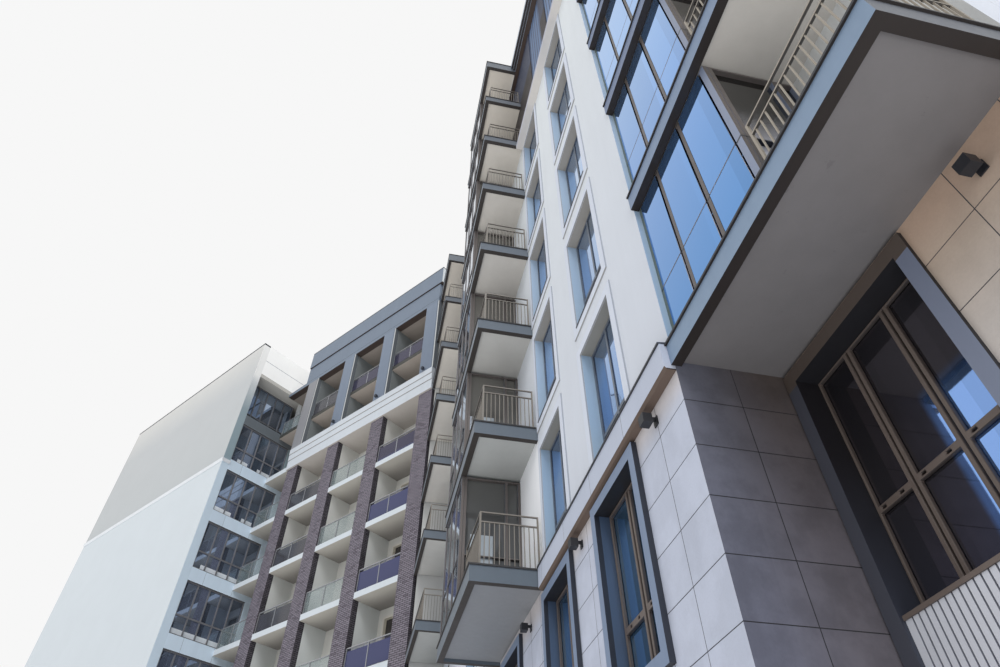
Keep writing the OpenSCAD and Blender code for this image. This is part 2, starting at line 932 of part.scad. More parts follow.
module attic_pilasters() {
    z = lvl(cornice_level);
    color("#78828c")
        middle_frame()
            for (x = pilaster_x) {
                box(x, x + pilaster_w, -attic_proj, 100 - joint, z + band_rise, lvl(roof_level) - slab_t);
                box(x, x + pilaster_w, 100, middle_balcony_d, z, lvl(roof_level) - slab_t);
            }
}

attic_bays = [
    [0, pilaster_x[0]],
    for (i = [0 : 2]) [pilaster_x[i] + pilaster_w, pilaster_x[i + 1]]
];

module attic_balconies() {
    color("#7b848c")
        middle_frame()
            for (b = attic_bays)
                box(b[0], b[1], 60, middle_balcony_d, lvl(7) - edge_h, lvl(7));
}

module middle_roof() {
    z = lvl(roof_level);
    run = stack_proj - eave;
    color("#78838f")
        middle_frame() {
            prism([
                [0, -attic_proj],
                [middle_l, -attic_proj],
                [middle_l, 0],
                [middle_l + sin(bend) * run, cos(bend) * run],
                [bend_t(wing_d + roof_end, wing_d + roof_end), wing_d + roof_end],
                [0, wing_d + roof_end]
            ], z - slab_t, z);
            run_profile([
                [-300, z - eps],
                [attic_proj, z - eps],
                [attic_proj, z + roof_courses[0]],
                [-300, z + roof_courses[0]]
            ], band_x - roof_runs[0], middle_l);
            run_profile([
                [-300, z + roof_courses[0]],
                [attic_proj + 60, z + roof_courses[0]],
                [attic_proj + 60, z + roof_courses[0] + roof_courses[1]],
                [-300, z + roof_courses[0] + roof_courses[1]]
            ], band_x - roof_runs[0], middle_l + roof_runs[1]);
        }
}

module middle_railing(l) {
    rail_z = middle_rail_h - 40;
    box(0, l, 0, 50, rail_z, middle_rail_h);
    box(0, l, 15, 35, 60, rail_z + 5);
    for (x = [0, l / 2 - 20, l - 40])
        box(x, x + 40, 0, 50, 0, rail_z + 5);
}

module middle_railings() {
    color("#5a5f7a")
        middle_frame() {
            for (b = middle_bays, k = [0 : cornice_level - 1])
                translate([b[0] + joint, 60, lvl(k)])
                    middle_railing(b[1] - b[0] - 2 * joint);
            for (b = attic_bays)
                translate([b[0] + joint, 100, lvl(7)])
                    middle_railing(b[1] - b[0] - 2 * joint);
        }
}

module middle_floors() {
    color("#c9c6c0")
        middle_frame()
            for (k = [-1 : roof_level - 1]) {
                z1 = k < 0 ? slab_t : lvl(k);
                prism([
                    [-wall_t, middle_balcony_d + wall_t],
                    [bend_t(wall_t, middle_balcony_d + wall_t), middle_balcony_d + wall_t],
                    [bend_t(wing_d - wall_t, wing_d - wall_t), wing_d - wall_t],
                    [-wall_t, wing_d - wall_t]
                ], z1 - slab_t, z1);
            }
}

module gable_wall() {
    color("#d6d4cf")
        middle_frame()
            box(-left_w, 0, gable_y, gable_y + wall_t, 0, left_top);
}

// The gable's band turns the corner and ends at the loggias
module gable_band() {
    profile = [[0, band_z - 120], [40, band_z - 120], [80, band_z], [80, band_z + 60], [0, band_z + 90]];
    color("#e9e9e7")
        middle_frame()
            translate([0, gable_y, 0]) {
                run_profile(profile, -left_w, 80);
                rotate(90)
                    run_profile(profile, 0, loggia_corner_w);
            }
}

module left_spandrels() {
    color("#d9dcdf")
        middle_frame()
            for (k = [0 : roof_level - 1])
                box(-wall_t, 0, gable_y + loggia_corner_w, middle_balcony_d + wall_t,
                    lvl(k) - spandrel_h, lvl(k) + spandrel_rise);
}

module left_corner_piers() {
    color("#d3d8dc")
        middle_frame() {
            if (loggia_corner_w > wall_t)
                box(-wall_t, 0, gable_y + wall_t, gable_y + loggia_corner_w, 0, lvl(roof_level));
            for (k = [-1 : roof_level - 1])
                box(-wall_t, 0, loggia_run_in, middle_balcony_d + wall_t,
                    k < 0 ? 0 : lvl(k) + spandrel_rise, loggia_top(k));
        }
}

module left_parapet() {
    z = left_roof_z;
    color("#f0efec")
        middle_frame() {
            box(-wall_t, 0, gable_y + wall_t, left_rear_y, z, left_top);
            box(-left_w, -left_w + wall_t, gable_y + wall_t, left_rear_y, z, left_top);
            box(-left_w + wall_t + joint, -wall_t - joint, left_rear_y - wall_t, left_rear_y, z, left_top);
        }
}

// Loggia openings, from one spandrel to the next; the top storey's glazing stands back, on the floor
loggia_l = loggia_run_in - (gable_y + loggia_corner_w);

function loggia_z(k) = k < 0 ? slab_t : lvl(k) + (k == roof_level - 1 ? 0 : spandrel_rise);
function loggia_top(k) = lvl(k + 1) - (k == roof_level - 1 ? 0 : spandrel_h);
function loggia_h(k) = loggia_top(k) - loggia_z(k);
function loggia_x(k) = k == roof_level - 1 ? -top_recess : -60;

module loggia_frames() {
    color("#5a544f")
        middle_frame()
            for (k = [-1 : roof_level - 1])
                translate([loggia_x(k), gable_y + loggia_corner_w, loggia_z(k)])
                    rotate(90)
                        upright(0, post_w)
                            glazing_frame(loggia_l, loggia_h(k), even_posts(loggia_l, 5), post_w,
                                loggia_transom, post_w, post_w);
}

module loggia_glass() {
    color("#33383f")
        middle_frame()
            for (k = [-1 : roof_level - 1])
                box(loggia_x(k) - post_w - glass_t, loggia_x(k) - post_w,
                    gable_y + loggia_corner_w, loggia_run_in, loggia_z(k), loggia_top(k));
}

module left_floors() {
    color("#c9c6c0")
        middle_frame()
            for (k = [-1 : roof_level]) {
                z1 = k < 0 ? slab_t : k == roof_level ? left_roof_z : lvl(k);
                edge = k == roof_level ? 0 : wall_t;
                box(-left_w + edge, -edge, gable_y + wall_t, left_rear_y - edge, z1 - slab_t, z1);
            }
}

module window_frame(w, h, transom) {
    glazing_frame(w, h, even_posts(w, 2), post_w, transom, post_w, post_w);
}

module window_frames() {
    color("#4a4642")
        near_frame()
            for (o = cream_openings, k = [stone_level : cornice_level - 1])
                upright(reveal, reveal + 70)
                    translate([o[0], lvl(k)])
                        window_frame(o[1] - o[0], window_h, window_transom);
}

module hidden_glass(top) {
    for (o = hidden_openings($l)) {
        for (s = [0, 1])
            box(o[0], o[1], reveal, reveal + glass_t, base_sill[s], base_head[s]);
        for (k = [stone_level : top - 1])
            box(o[0], o[1], reveal, reveal + glass_t, lvl(k), lvl(k) + window_h);
        if (top == cornice_level)
            box(o[0], o[1], reveal, reveal + glass_t, lvl(cornice_level), lvl(roof_level) - slab_t);
    }
}

module window_glass() {
    color("#3f4a5a") {
        near_side_walls() hidden_glass(cornice_level);
        middle_side_walls() hidden_glass(cornice_level);
        left_side_walls() hidden_glass(roof_level);
        near_frame() {
            for (o = cream_openings, k = [stone_level : cornice_level - 1])
                box(o[0], o[1], reveal + 70, reveal + 70 + glass_t, lvl(k), lvl(k) + window_h);
            for (o = base_openings, s = [0, 1])
                box(o[0], o[1], base_reveal, base_reveal + glass_t, base_sill[s], base_head[s]);
            for (o = attic_openings)
                box(o[0], o[1], attic_reveal, attic_reveal + glass_t,
                    lvl(cornice_level), lvl(roof_level) - slab_t);
            for (k = [stone_level : roof_level - 1])
                box(corner_door[0], corner_door[1], corner_d + reveal, corner_d + reveal + glass_t,
                    lvl(k), lvl(k) + door_h);
            box(recess_opening[0] + recess_surround_w, recess_opening[1] - recess_surround_w,
                corner_d + recess_reveal - glass_t, corner_d + recess_reveal,
                recess_z[0] + recess_surround_w, recess_z[1] - recess_surround_w);
        }
        middle_frame()
            for (d = middle_doors, k = [-1 : roof_level - 1])
                box(d[0], d[1], middle_balcony_d + reveal, middle_balcony_d + reveal + glass_t,
                    lvl(k), lvl(k) + door_h);
    }
}

stone_base_bands();
stone_base_piers();
base_surrounds();
ribbed_panel();
string_course();
drip_cap();
cream_bands();
cream_piers();
return_walls();
window_surrounds();
cream_cornice();
attic_piers();
near_floors();
near_roof();
wall_lamps();
corner_balconies();
stack_balconies();
corner_railings();
stack_railings();
corner_enclosures();
stack_enclosures();
enclosure_glass();
brick_piers();
balcony_fins();
middle_balconies();
middle_back_bands();
middle_back_piers();
white_band();
attic_pilasters();
attic_balconies();
middle_roof();
middle_railings();
middle_floors();
gable_wall();
gable_band();
left_spandrels();
left_corner_piers();
left_parapet();
loggia_frames();
loggia_glass();
left_floors();
window_frames();
window_glass();
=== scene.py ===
import math
import bpy
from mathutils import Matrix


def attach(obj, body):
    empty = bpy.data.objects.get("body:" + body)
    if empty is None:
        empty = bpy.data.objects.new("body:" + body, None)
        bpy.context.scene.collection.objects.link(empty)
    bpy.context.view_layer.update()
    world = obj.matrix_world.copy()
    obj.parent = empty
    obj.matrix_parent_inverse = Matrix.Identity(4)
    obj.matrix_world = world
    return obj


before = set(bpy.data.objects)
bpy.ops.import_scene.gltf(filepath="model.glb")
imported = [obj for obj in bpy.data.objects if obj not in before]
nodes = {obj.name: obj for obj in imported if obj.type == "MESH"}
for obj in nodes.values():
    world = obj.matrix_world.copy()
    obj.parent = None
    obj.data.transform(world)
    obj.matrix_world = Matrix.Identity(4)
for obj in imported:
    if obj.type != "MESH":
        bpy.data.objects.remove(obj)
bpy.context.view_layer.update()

# Real millimetres of the block per metre of this 1:2 model. The sizes below are real millimetres.
REAL = 2000.0
# Plan: near wing's length, wings' depth, middle wing's length, how far the balcony stacks stand out
NEAR_L, WING_D, MIDDLE_L, STACK_PROJ = 23280, 15600, 13350, 1380
BEND = math.radians(39)
TURN = {"near": 0, "middle": BEND}
# Heights: the first floor, a storey, the string course's underside, the top of the colour ramps
GROUND_H, STOREY_H, STRING_Z, TOP = 3850, 3195, 6645, 33000
# Where the materials part the stone base, the cream storeys and the metal attic
BASE_TOP, CREAM_Z, ATTIC_Z = 6700, 7000, 23000
# The street facade ends at CORNER_X, and the wall behind RECESS_Y stands back there
CORNER_X, RECESS_Y = 19360, 1000
# Enclosures beyond this are the corner's, the others are the stack's
CORNER_PART_X = 19000
# How high the near roof's edge is, and how high the cap line is on the slabs
ROOF_EDGE_H, CAP_T = 250, 31
# Stone tiles, the width of their joints, and where the lowest course starts
TILE_W, TILE_H, TILE_JOINT, TILE_BOTTOM = 697, 600, 9, 210
# Middle wing: the pitch of its piers, and where its first pilaster starts
PIER_PITCH, PILASTER_X = 3450, 2070
# Joinery: the eased edges of frames and of small pieces, the seal round a pane, its thickness
FRAME_EDGE, SMALL_EDGE, SEAL, PANE_T = 6, 4, 13, 10


def level(k):
    return GROUND_H + STOREY_H * k


# Camera: eye, heading and pitch as the photo was taken
def add_camera():
    data = bpy.data.cameras.new("view")
    data.sensor_width = 36
    data.lens = 23.33
    data.clip_start = 0.05
    data.clip_end = 500
    camera = bpy.data.objects.new("view", data)
    bpy.context.scene.collection.objects.link(camera)
    camera.location = (6.316, -5.450, 0.800)
    camera.rotation_euler = (math.radians(90 + 46.04), 0, math.radians(78.06))
    bpy.context.scene.camera = camera


add_camera()


# Shader maths: a socket that can be added, multiplied and compared
class Socket:
    def __init__(self, graph, out):
        self.graph = graph
        self.out = out

    def maths(self, operation, *others):
        return self.graph.node("ShaderNodeMath", {"operation": operation}, self, *others)

    def __add__(self, other):
        return self.maths("ADD", other)

    def __sub__(self, other):
        return self.maths("SUBTRACT", other)

    def __mul__(self, other):
        return self.maths("MULTIPLY", other)

    def __truediv__(self, other):
        return self.maths("DIVIDE", other)

    def __rsub__(self, other):
        return self.graph.node("ShaderNodeMath", {"operation": "SUBTRACT"}, other, self)

    __radd__ = __add__
    __rmul__ = __mul__
    __and__ = __mul__

    def __or__(self, other):
        return self.maths("MAXIMUM", other)

    def __mod__(self, length):
        return self.maths("FLOORED_MODULO", length)

    def __gt__(self, limit):
        return self.maths("GREATER_THAN", limit)

    def __lt__(self, limit):
        return self.maths("LESS_THAN", limit)

    def __abs__(self):
        return self.maths("ABSOLUTE")

    def floor(self):
        return self.maths("FLOOR")

    def within(self, low, high):
        return (self > low) & (self < high)

    def rise(self, low, high):
        """0 up to low, 1 from high, smooth between."""
        settings = {"interpolation_type": "SMOOTHSTEP"}
        return self.graph.node("ShaderNodeMapRange", settings, self, low, high, 0.0, 1.0)


class Nodes:
    """Makes the nodes of one tree, a material's or the world's."""

    def __init__(self, tree):
        self.tree = tree

    def node(self, kind, settings, *values, at=None, out=0, **named):
        """A node with its settings, and its inputs in order, or at some indexes, or by name."""
        node = self.tree.nodes.new(kind)
        for key, value in settings.items():
            if key == "stops":
                elements = node.color_ramp.elements
                elements[0].position, elements[0].color = value[0]
                elements[1].position, elements[1].color = value[-1]
                for position, colour in value[1:-1]:
                    elements.new(position).color = colour
            else:
                setattr(node, key, value)
        for index, value in zip(at or range(len(values)), values):
            self.plug(node.inputs[index], value)
        for key, value in named.items():
            self.plug(node.inputs[key.replace("_", " ")], value)
        return Socket(self, node.outputs[out])

    def plug(self, target, value):
        if isinstance(value, Socket):
            self.tree.links.new(value.out, target)
        else:
            target.default_value = value


class Graph(Nodes):
    """One material's nodes. Its x, y and z are real mm along, into and up its wing."""

    def __init__(self, name, wing="near"):
        self.material = bpy.data.materials.new(name)
        self.material.use_nodes = True
        super().__init__(self.material.node_tree)
        self.shader = self.tree.nodes["Principled BSDF"]
        self.place = self.node("ShaderNodeTexCoord", {}, out="Object")
        normal = self.node("ShaderNodeNewGeometry", {}, out="Normal")
        turn = TURN[wing]
        x, y = NEAR_L / 2, WING_D / 2
        if wing == "middle":
            y += STACK_PROJ
        start = (math.cos(turn) * x + math.sin(turn) * y + (MIDDLE_L if turn else 0),
                 math.cos(turn) * y - math.sin(turn) * x, 0)
        where = self.node("ShaderNodeMapping", {"vector_type": "POINT"}, self.place, Location=start,
                          Rotation=(0, 0, -turn), Scale=(REAL, REAL, REAL))
        facing = self.node("ShaderNodeMapping", {"vector_type": "VECTOR"}, normal,
                           Rotation=(0, 0, -turn))
        self.x, self.y, self.z = self.axes(where)
        self.nx, self.ny, self.nz = self.axes(facing)
        self.along = self.y * self.nx - self.x * self.ny
        self.front = self.ny < -0.5
        self.under = self.nz < -0.5
        self.side = self.nx > 0.5
        self.upright = abs(self.nz) < 0.5

    def mix(self, mask, first, second):
        return self.node("ShaderNodeMix", {"data_type": "RGBA"}, mask, first, second,
                         at=(0, 6, 7), out=2)

    def paint(self, colour, *layers):
        """Layers of (mask, colour), each over the ones before."""
        for mask, layer in layers:
            colour = self.mix(mask, colour, layer)
        return colour

    def shade(self, colour, mask):
        """Colour made lighter or darker by a mask round 1."""
        base = colour if isinstance(colour, Socket) else colour[:3]
        return self.node("ShaderNodeVectorMath", {"operation": "SCALE"}, base, mask, at=(0, 3))

    def axes(self, socket):
        return [self.node("ShaderNodeSeparateXYZ", {}, socket, out=i) for i in range(3)]

    def by_height(self, *stops):
        """A colour that changes up the block, from stops of (height in mm, colour)."""
        settings = {"stops": [(height / TOP, colour) for height, colour in stops]}
        return self.node("ShaderNodeValToRGB", settings, self.z / TOP)

    def above(self):
        """Height above the floor of the storey."""
        return (self.z - GROUND_H) % STOREY_H

    def storey(self):
        """Number of the storey, 0 over the base."""
        return ((self.z - GROUND_H) / STOREY_H).floor()

    def noise(self, size, detail=3.0, roughness=0.55, stretch=(1, 1, 1)):
        """Noise from 0 to 1 whose features are about size mm long."""
        where = self.node("ShaderNodeVectorMath", {"operation": "MULTIPLY"}, self.place,
                          tuple(s * REAL / size for s in stretch))
        return self.node("ShaderNodeTexNoise", {}, Vector=where, Scale=1.0, Detail=detail,
                         Roughness=roughness)

    def random(self, *cell):
        """A value from 0 to 1 for each cell of a pattern."""
        where = self.node("ShaderNodeCombineXYZ", {}, *cell)
        return self.node("ShaderNodeTexWhiteNoise", {"noise_dimensions": "3D"}, Vector=where)

    def weathered(self, colour, streaks=0.05, clouds=0.05, grain=0.03):
        """Rain streaks down the wall, wide clouds and a fine grain."""
        mask = self.noise(260, 4.0, 0.6, (1, 1, 0.07)) * (2 * streaks) + (1 - streaks)
        mask = mask * (self.noise(1400, 3.0) * (2 * clouds) + (1 - clouds))
        mask = mask * (self.noise(24, 2.0) * (2 * grain) + (1 - grain))
        return self.shade(colour, mask)

    def bump(self, height, depth):
        """Relief of a height map, depth mm deep."""
        return self.node("ShaderNodeBump", {}, Strength=1.0, Distance=depth / REAL, Height=height)

    def tiled(self, width, height, joint, first=0, bottom=0, bond=0):
        """Mask of the joints between tiles or bricks, and a random tone for each of them."""
        row = ((self.z - bottom) / height).floor()
        column = (self.along - first) / width + row * bond
        joints = ((column % 1) < joint / width) | (((self.z - bottom) % height) < joint)
        return joints & self.upright, self.random(column.floor(), row, 0)

    def finish(self, colour, roughness, metallic=None, normal=None, alpha=None, specular=0.4):
        self.plug(self.shader.inputs["Base Color"], colour)
        self.plug(self.shader.inputs["Roughness"], roughness)
        self.shader.inputs["Specular IOR Level"].default_value = specular
        if metallic is not None:
            self.plug(self.shader.inputs["Metallic"], metallic)
        if normal is not None:
            self.plug(self.shader.inputs["Normal"], normal)
        if alpha is not None:
            self.plug(self.shader.inputs["Alpha"], alpha)
        return self.material

    def render(self, colour, roughness=0.85, streaks=0.05, clouds=0.05):
        """Painted render: matt, finely grained and weathered."""
        return self.finish(self.weathered(colour, streaks, clouds), roughness, specular=0.25,
                           normal=self.bump(self.noise(14, 3.0), 2.0))

    def metal(self, colour, roughness=0.45):
        """Painted sheet metal: satin, nearly flat."""
        worn = self.noise(90, 3.0) * 0.2 + (roughness - 0.1)
        return self.finish(self.weathered(colour, 0.06, 0.05, 0.015), worn, metallic=0.15,
                           normal=self.bump(self.noise(700, 2.0), 1.5))

    def glass(self, colour, mirror=0.85):
        """Glazing: a tinted reflection, slightly wavy from pane to pane."""
        return self.finish(colour, 0.03, metallic=mirror, specular=0.5,
                           normal=self.bump(self.noise(900, 1.0), 2.0))


def rgb(*values):
    """A colour as seen on screen (0 to 255), in linear light."""
    out = []
    for v in values:
        c = v / 255
        out.append(c / 12.92 if c <= 0.04045 else ((c + 0.055) / 1.055) ** 2.4)
    return (*out, 1.0)


BROWN_BLACK = rgb(38, 33, 32)
# Joints, and the darker joints of the side faces round the corner, which carry painted shade
JOINT, SHADED_JOINT = rgb(60, 60, 66), rgb(40, 40, 44)


# Near wing
def dark_return_and_shade(g):
    """Dark tiles round the corner, with painted shade away from the front and towards the soffit.
    """
    near_edge = g.by_height((0, rgb(100, 103, 122)), (6600, rgb(94, 96, 108)))
    deep = g.by_height((0, rgb(98, 96, 106)), (4500, rgb(97, 93, 100)), (6800, rgb(80, 71, 68)))
    return g.mix(g.y.rise(0, 1200), near_edge, deep)


def tile_clouds(g):
    return g.noise(420, 5.0, 0.62).rise(0.36, 0.64)


def stone():
    g = Graph("matt_stone_tiles")
    glow = g.front * g.z.rise(6150, 6640) * 0.6
    # Painted shade: the wall behind the recess darker and browner up towards the soffit
    recess_wall_shade = g.by_height((1500, rgb(196, 192, 192)), (5300, rgb(186, 179, 174)),
                                (6100, rgb(180, 164, 150)), (6600, rgb(178, 154, 136)))
    colour = g.paint(rgb(184, 190, 206),
                     (glow, rgb(198, 186, 176)),
                     (g.front & (g.y > RECESS_Y), recess_wall_shade),
                     (g.side & (g.y < 460), dark_return_and_shade(g)),
                     # Painted shade: undersides darker and browner
                     (g.under, rgb(120, 100, 88)))
    joints, tone = g.tiled(TILE_W, TILE_H, TILE_JOINT, CORNER_X, TILE_BOTTOM)
    clouds = tile_clouds(g) * (0.09 + 0.17 * g.side)
    # Painted shade: the side faces round the corner 6 per cent darker, and their joints darker
    colour = g.shade(colour, tone * 0.07 + clouds + (0.92 - 0.06 * g.side))
    joint_colour = g.mix(g.side, JOINT, SHADED_JOINT)
    colour = g.paint(g.weathered(colour, 0.03, 0.03, 0.06), (joints, joint_colour))
    height = (1 - joints) + g.noise(25, 2.0) * 0.1
    return g.finish(colour, g.noise(200) * 0.2 + 0.6, normal=g.bump(height, 6.0), specular=0.3)


def return_wall():
    g = Graph("dark_shaded_stone_tiles")
    joints, tone = g.tiled(TILE_W, TILE_H, TILE_JOINT, 0, TILE_BOTTOM)
    # The dark tiles carry painted shade, deeper away from the front and towards the soffit
    tiles = g.shade(dark_return_and_shade(g), tone * 0.07 + tile_clouds(g) * 0.26 + 0.86)
    dark = g.paint(tiles, (joints, SHADED_JOINT))
    upper = g.paint(rgb(196, 196, 194), (g.x < 0, rgb(128, 126, 124)))
    base = (g.z < level(1)) & (g.x > 5000)
    relief = g.bump((1 - joints) & base, 5.0)
    return g.finish(g.weathered(g.mix(base, upper, dark)), 0.7, normal=relief)


def surround():
    g = Graph("surround_metal")
    recess = g.y > RECESS_Y
    # Painted shade on the recess window's ring: darker towards the corner, brown under the string
    # course
    across = g.mix(g.x.rise(19500, 21500), rgb(74, 76, 86), rgb(118, 126, 146))
    recess_front_shade = g.paint(across, (g.z > 6500, rgb(88, 78, 72)))
    # Painted shade: the recess reveals darken upwards
    recess_inside_shade = g.by_height((800, rgb(74, 84, 104)), (3600, rgb(56, 60, 72)),
                                (5500, rgb(36, 34, 38)))
    # Painted shade: reveals darker than the fronts, undersides and outer sides dark
    colour = g.paint(g.mix(recess, rgb(76, 92, 116), recess_inside_shade),
                     (g.front, g.mix(recess, rgb(122, 138, 164), recess_front_shade)),
                     (g.under, rgb(34, 34, 38)),
                     (g.side & (g.y < 0), rgb(46, 50, 60)))
    return g.metal(colour, 0.42)


def string_course():
    g = Graph("string_course_stone")
    joints, tone = g.tiled(2 * TILE_W, 5000, 10, CORNER_X)
    bottom_line = g.upright & (g.z < STRING_Z + 18)
    colour = g.paint(rgb(180, 187, 203),
                     (joints, rgb(110, 112, 120)),
                     (bottom_line, rgb(46, 42, 44)),
                     # Painted shade: the underside darker and browner
                     (g.under, rgb(92, 78, 70)))
    return g.finish(g.weathered(g.shade(colour, tone * 0.05 + 0.97), 0.06, 0.05, 0.05), 0.75)


def cream(name):
    g = Graph(name)
    reveal = g.y.within(2, 445) & (g.z > CREAM_Z)
    # Painted shade: reveal sides bluish and reveal soffits darker, both lighter higher up
    jamb_shade = g.by_height((9000, rgb(158, 181, 203)), (13000, rgb(170, 189, 208)))
    soffit = g.by_height((9000, rgb(132, 131, 126)), (13000, rgb(148, 144, 138)))
    # Painted light: the lowest wall beside the stack brighter than the cream, to lift the
    # balconies' shade
    painted_light_stack_wall = g.x.within(11870, 13500) & g.front & (g.z < 10300)
    colour = g.by_height((CREAM_Z, rgb(204, 209, 219)), (15000, rgb(212, 217, 223)),
                         (ATTIC_Z, rgb(219, 224, 227)))
    colour = g.paint(colour,
                     (reveal & g.side, jamb_shade),
                     (reveal & g.under, soffit),
                     (painted_light_stack_wall, rgb(242, 244, 248)),
                     (g.front & (g.y > RECESS_Y), rgb(200, 202, 202)))
    return g.render(colour, 0.85, 0.04, 0.04)


def surround_render():
    g = Graph("moulding_render")
    # Painted shade: undersides and sides darker than the fronts
    colour = g.paint(rgb(207, 213, 225), (g.under, rgb(150, 150, 150)),
                     (g.side, rgb(160, 166, 176)))
    return g.render(colour, 0.8, 0.03, 0.03)


def cornice():
    g = Graph("cornice_render")
    # Painted light on the underside, lighter and warmer than the front; painted shade on the sides
    colour = g.paint(rgb(178, 180, 192), (g.under, rgb(200, 196, 192)),
                     (g.side, rgb(150, 156, 168)))
    return g.render(colour, 0.8)


def attic():
    g = Graph("attic_panels")
    joints, tone = g.tiled(985, 1000, 12, 745, level(6))
    dark = g.by_height((ATTIC_Z, rgb(46, 39, 38)), (26200, rgb(44, 38, 38)),
                       (26400, rgb(52, 60, 82)), (29200, rgb(48, 54, 74)))
    return g.metal(g.paint(g.shade(dark, tone * 0.06 + 0.97), (joints, rgb(24, 24, 30))), 0.62)


def eave():
    g = Graph("eave_metal")
    edge = g.z > level(8) + ROOF_EDGE_H - 30
    colour = g.paint(rgb(150, 164, 184),
                     (g.under, rgb(52, 47, 46)),
                     (edge & g.upright, rgb(44, 48, 58)),
                     (g.under & (g.y > -160), rgb(70, 58, 52)))
    return g.metal(colour, 0.45)


def slab_masks(g):
    """The cap line, the soffit panel and the border under a balcony slab."""
    above = g.above()
    roof = g.z > 29100
    cap = (above > STOREY_H - CAP_T) & (1 - roof) | (g.z > level(8) + ROOF_EDGE_H - CAP_T)
    panel = g.under & (above.within(2900, 2940) & (1 - roof) | g.z.within(29200, 29300))
    return cap, panel, g.under & (1 - panel)


def corner_slab():
    g = Graph("corner_fascia_metal")
    cap, panel, border = slab_masks(g)
    mottle = g.noise(500, 5.0, 0.7) * 0.16 + 0.92
    # Painted shade: soffit panels darker lower down, the lowest much darker
    concrete = g.by_height((BASE_TOP, rgb(108, 106, 108)), (9600, rgb(190, 186, 180)),
                           (22000, rgb(206, 200, 190)))
    spots = g.noise(230, 4.0, 0.7).rise(0.66, 0.72) & (g.z < CREAM_Z)
    concrete = g.paint(g.shade(concrete, mottle), (spots * 0.35, rgb(84, 82, 84)))
    fascia = g.by_height((CREAM_Z, rgb(124, 144, 168)), (10300, rgb(120, 138, 164)),
                         (13000, rgb(108, 122, 150)), (29000, rgb(112, 128, 154)))
    colour = g.paint(fascia,
                     # Painted shade: the ends darker than the fronts
                     (g.side, rgb(96, 100, 108)),
                     (cap & g.upright, rgb(52, 54, 60)),
                     (border, BROWN_BLACK),
                     (panel, concrete))
    return g.metal(colour, 0.5)


def stack_slab():
    g = Graph("stack_fascia_metal")
    cap, panel, border = slab_masks(g)
    # Painted shade: soffit panels darker lower down
    soffit = g.by_height((BASE_TOP, rgb(128, 130, 134)), (10000, rgb(178, 180, 178)),
                         (16400, rgb(200, 196, 190)), (29300, rgb(220, 212, 200)))
    front = g.by_height((CREAM_Z, rgb(112, 120, 129)), (29000, rgb(118, 126, 136)))
    # Painted shade: the ends darker than the fronts
    end = g.by_height((CREAM_Z, rgb(94, 104, 114)), (29000, rgb(100, 106, 114)))
    colour = g.paint(end,
                     (g.front, front),
                     (cap & g.upright, rgb(58, 58, 60)),
                     (border, rgb(58, 54, 52)),
                     (panel, soffit))
    return g.metal(colour, 0.5)


def railings():
    g = Graph("bronze_railing_metal")
    lit = g.x > 20000
    # Painted light on the railings past x 20000, painted shade on the undersides
    colour = g.paint(rgb(128, 122, 114), (lit, rgb(150, 142, 130)), (g.under, rgb(80, 76, 72)))
    return g.metal(colour, 0.4)


def enclosure_frame():
    g = Graph("enclosure_frame_metal")
    corner = g.x > CORNER_PART_X
    first_post = g.front & corner & (g.x < CORNER_X + 70)
    last_post = corner & g.front & (g.x > CORNER_X + 2120)
    transom = corner & g.above().within(985, 1015)
    colour = g.paint(rgb(92, 86, 84),
                     (first_post, rgb(96, 108, 104)),
                     (last_post, rgb(128, 138, 160)),
                     (g.side, rgb(100, 94, 92)),
                     (g.front & (1 - corner), rgb(104, 112, 124)),
                     (transom, rgb(34, 38, 48)))
    return g.metal(colour, 0.4)


def enclosure_glass():
    g = Graph("enclosure_glass")
    corner = g.x > CORNER_PART_X
    above = g.above()
    # Painted sky reflection on the corner's front glass, bluer and lighter up the block
    front = g.by_height((CREAM_Z, rgb(92, 146, 206)), (10300, rgb(116, 162, 222)),
                        (13500, rgb(134, 178, 232)), (29000, rgb(142, 184, 234)))
    pane = g.random(((g.x - 30) / 665).floor(), g.storey(), 1)
    # Painted reflection on the stack's front glass: blue-grey with pale highlight blotches
    highlight_blotch = g.noise(1800, 3.0).rise(0.42, 0.66)
    stack_front_reflection = g.paint(rgb(104, 126, 154), (highlight_blotch * 0.35, rgb(182, 198, 218)))
    # Painted light low down and painted shade up under the slab on the corner's end glass
    corner_end_light_and_shade = g.mix((above / 2900).rise(0.16, 0.7), rgb(204, 204, 214), rgb(24, 23, 22))
    # Painted shade: the stack's end glass darker on the lower storeys
    stack_end_shade = g.by_height((CREAM_Z, rgb(84, 86, 88)), (13000, rgb(112, 110, 106)))
    transom = g.side & above.within(975, 1020)
    door = g.side & (1 - corner) & (above < 1500) & g.y.within(-1110, -620)
    end = g.paint(g.mix(corner, stack_end_shade, corner_end_light_and_shade), (transom, rgb(54, 52, 54)),
                  (door, rgb(172, 180, 186)))
    colour = g.paint(end, (g.front & (1 - corner), stack_front_reflection), (g.front & corner, front))
    colour = g.shade(colour, pane * 0.14 + 0.93)
    return g.glass(colour, mirror=g.front * 0.65 + 0.25)


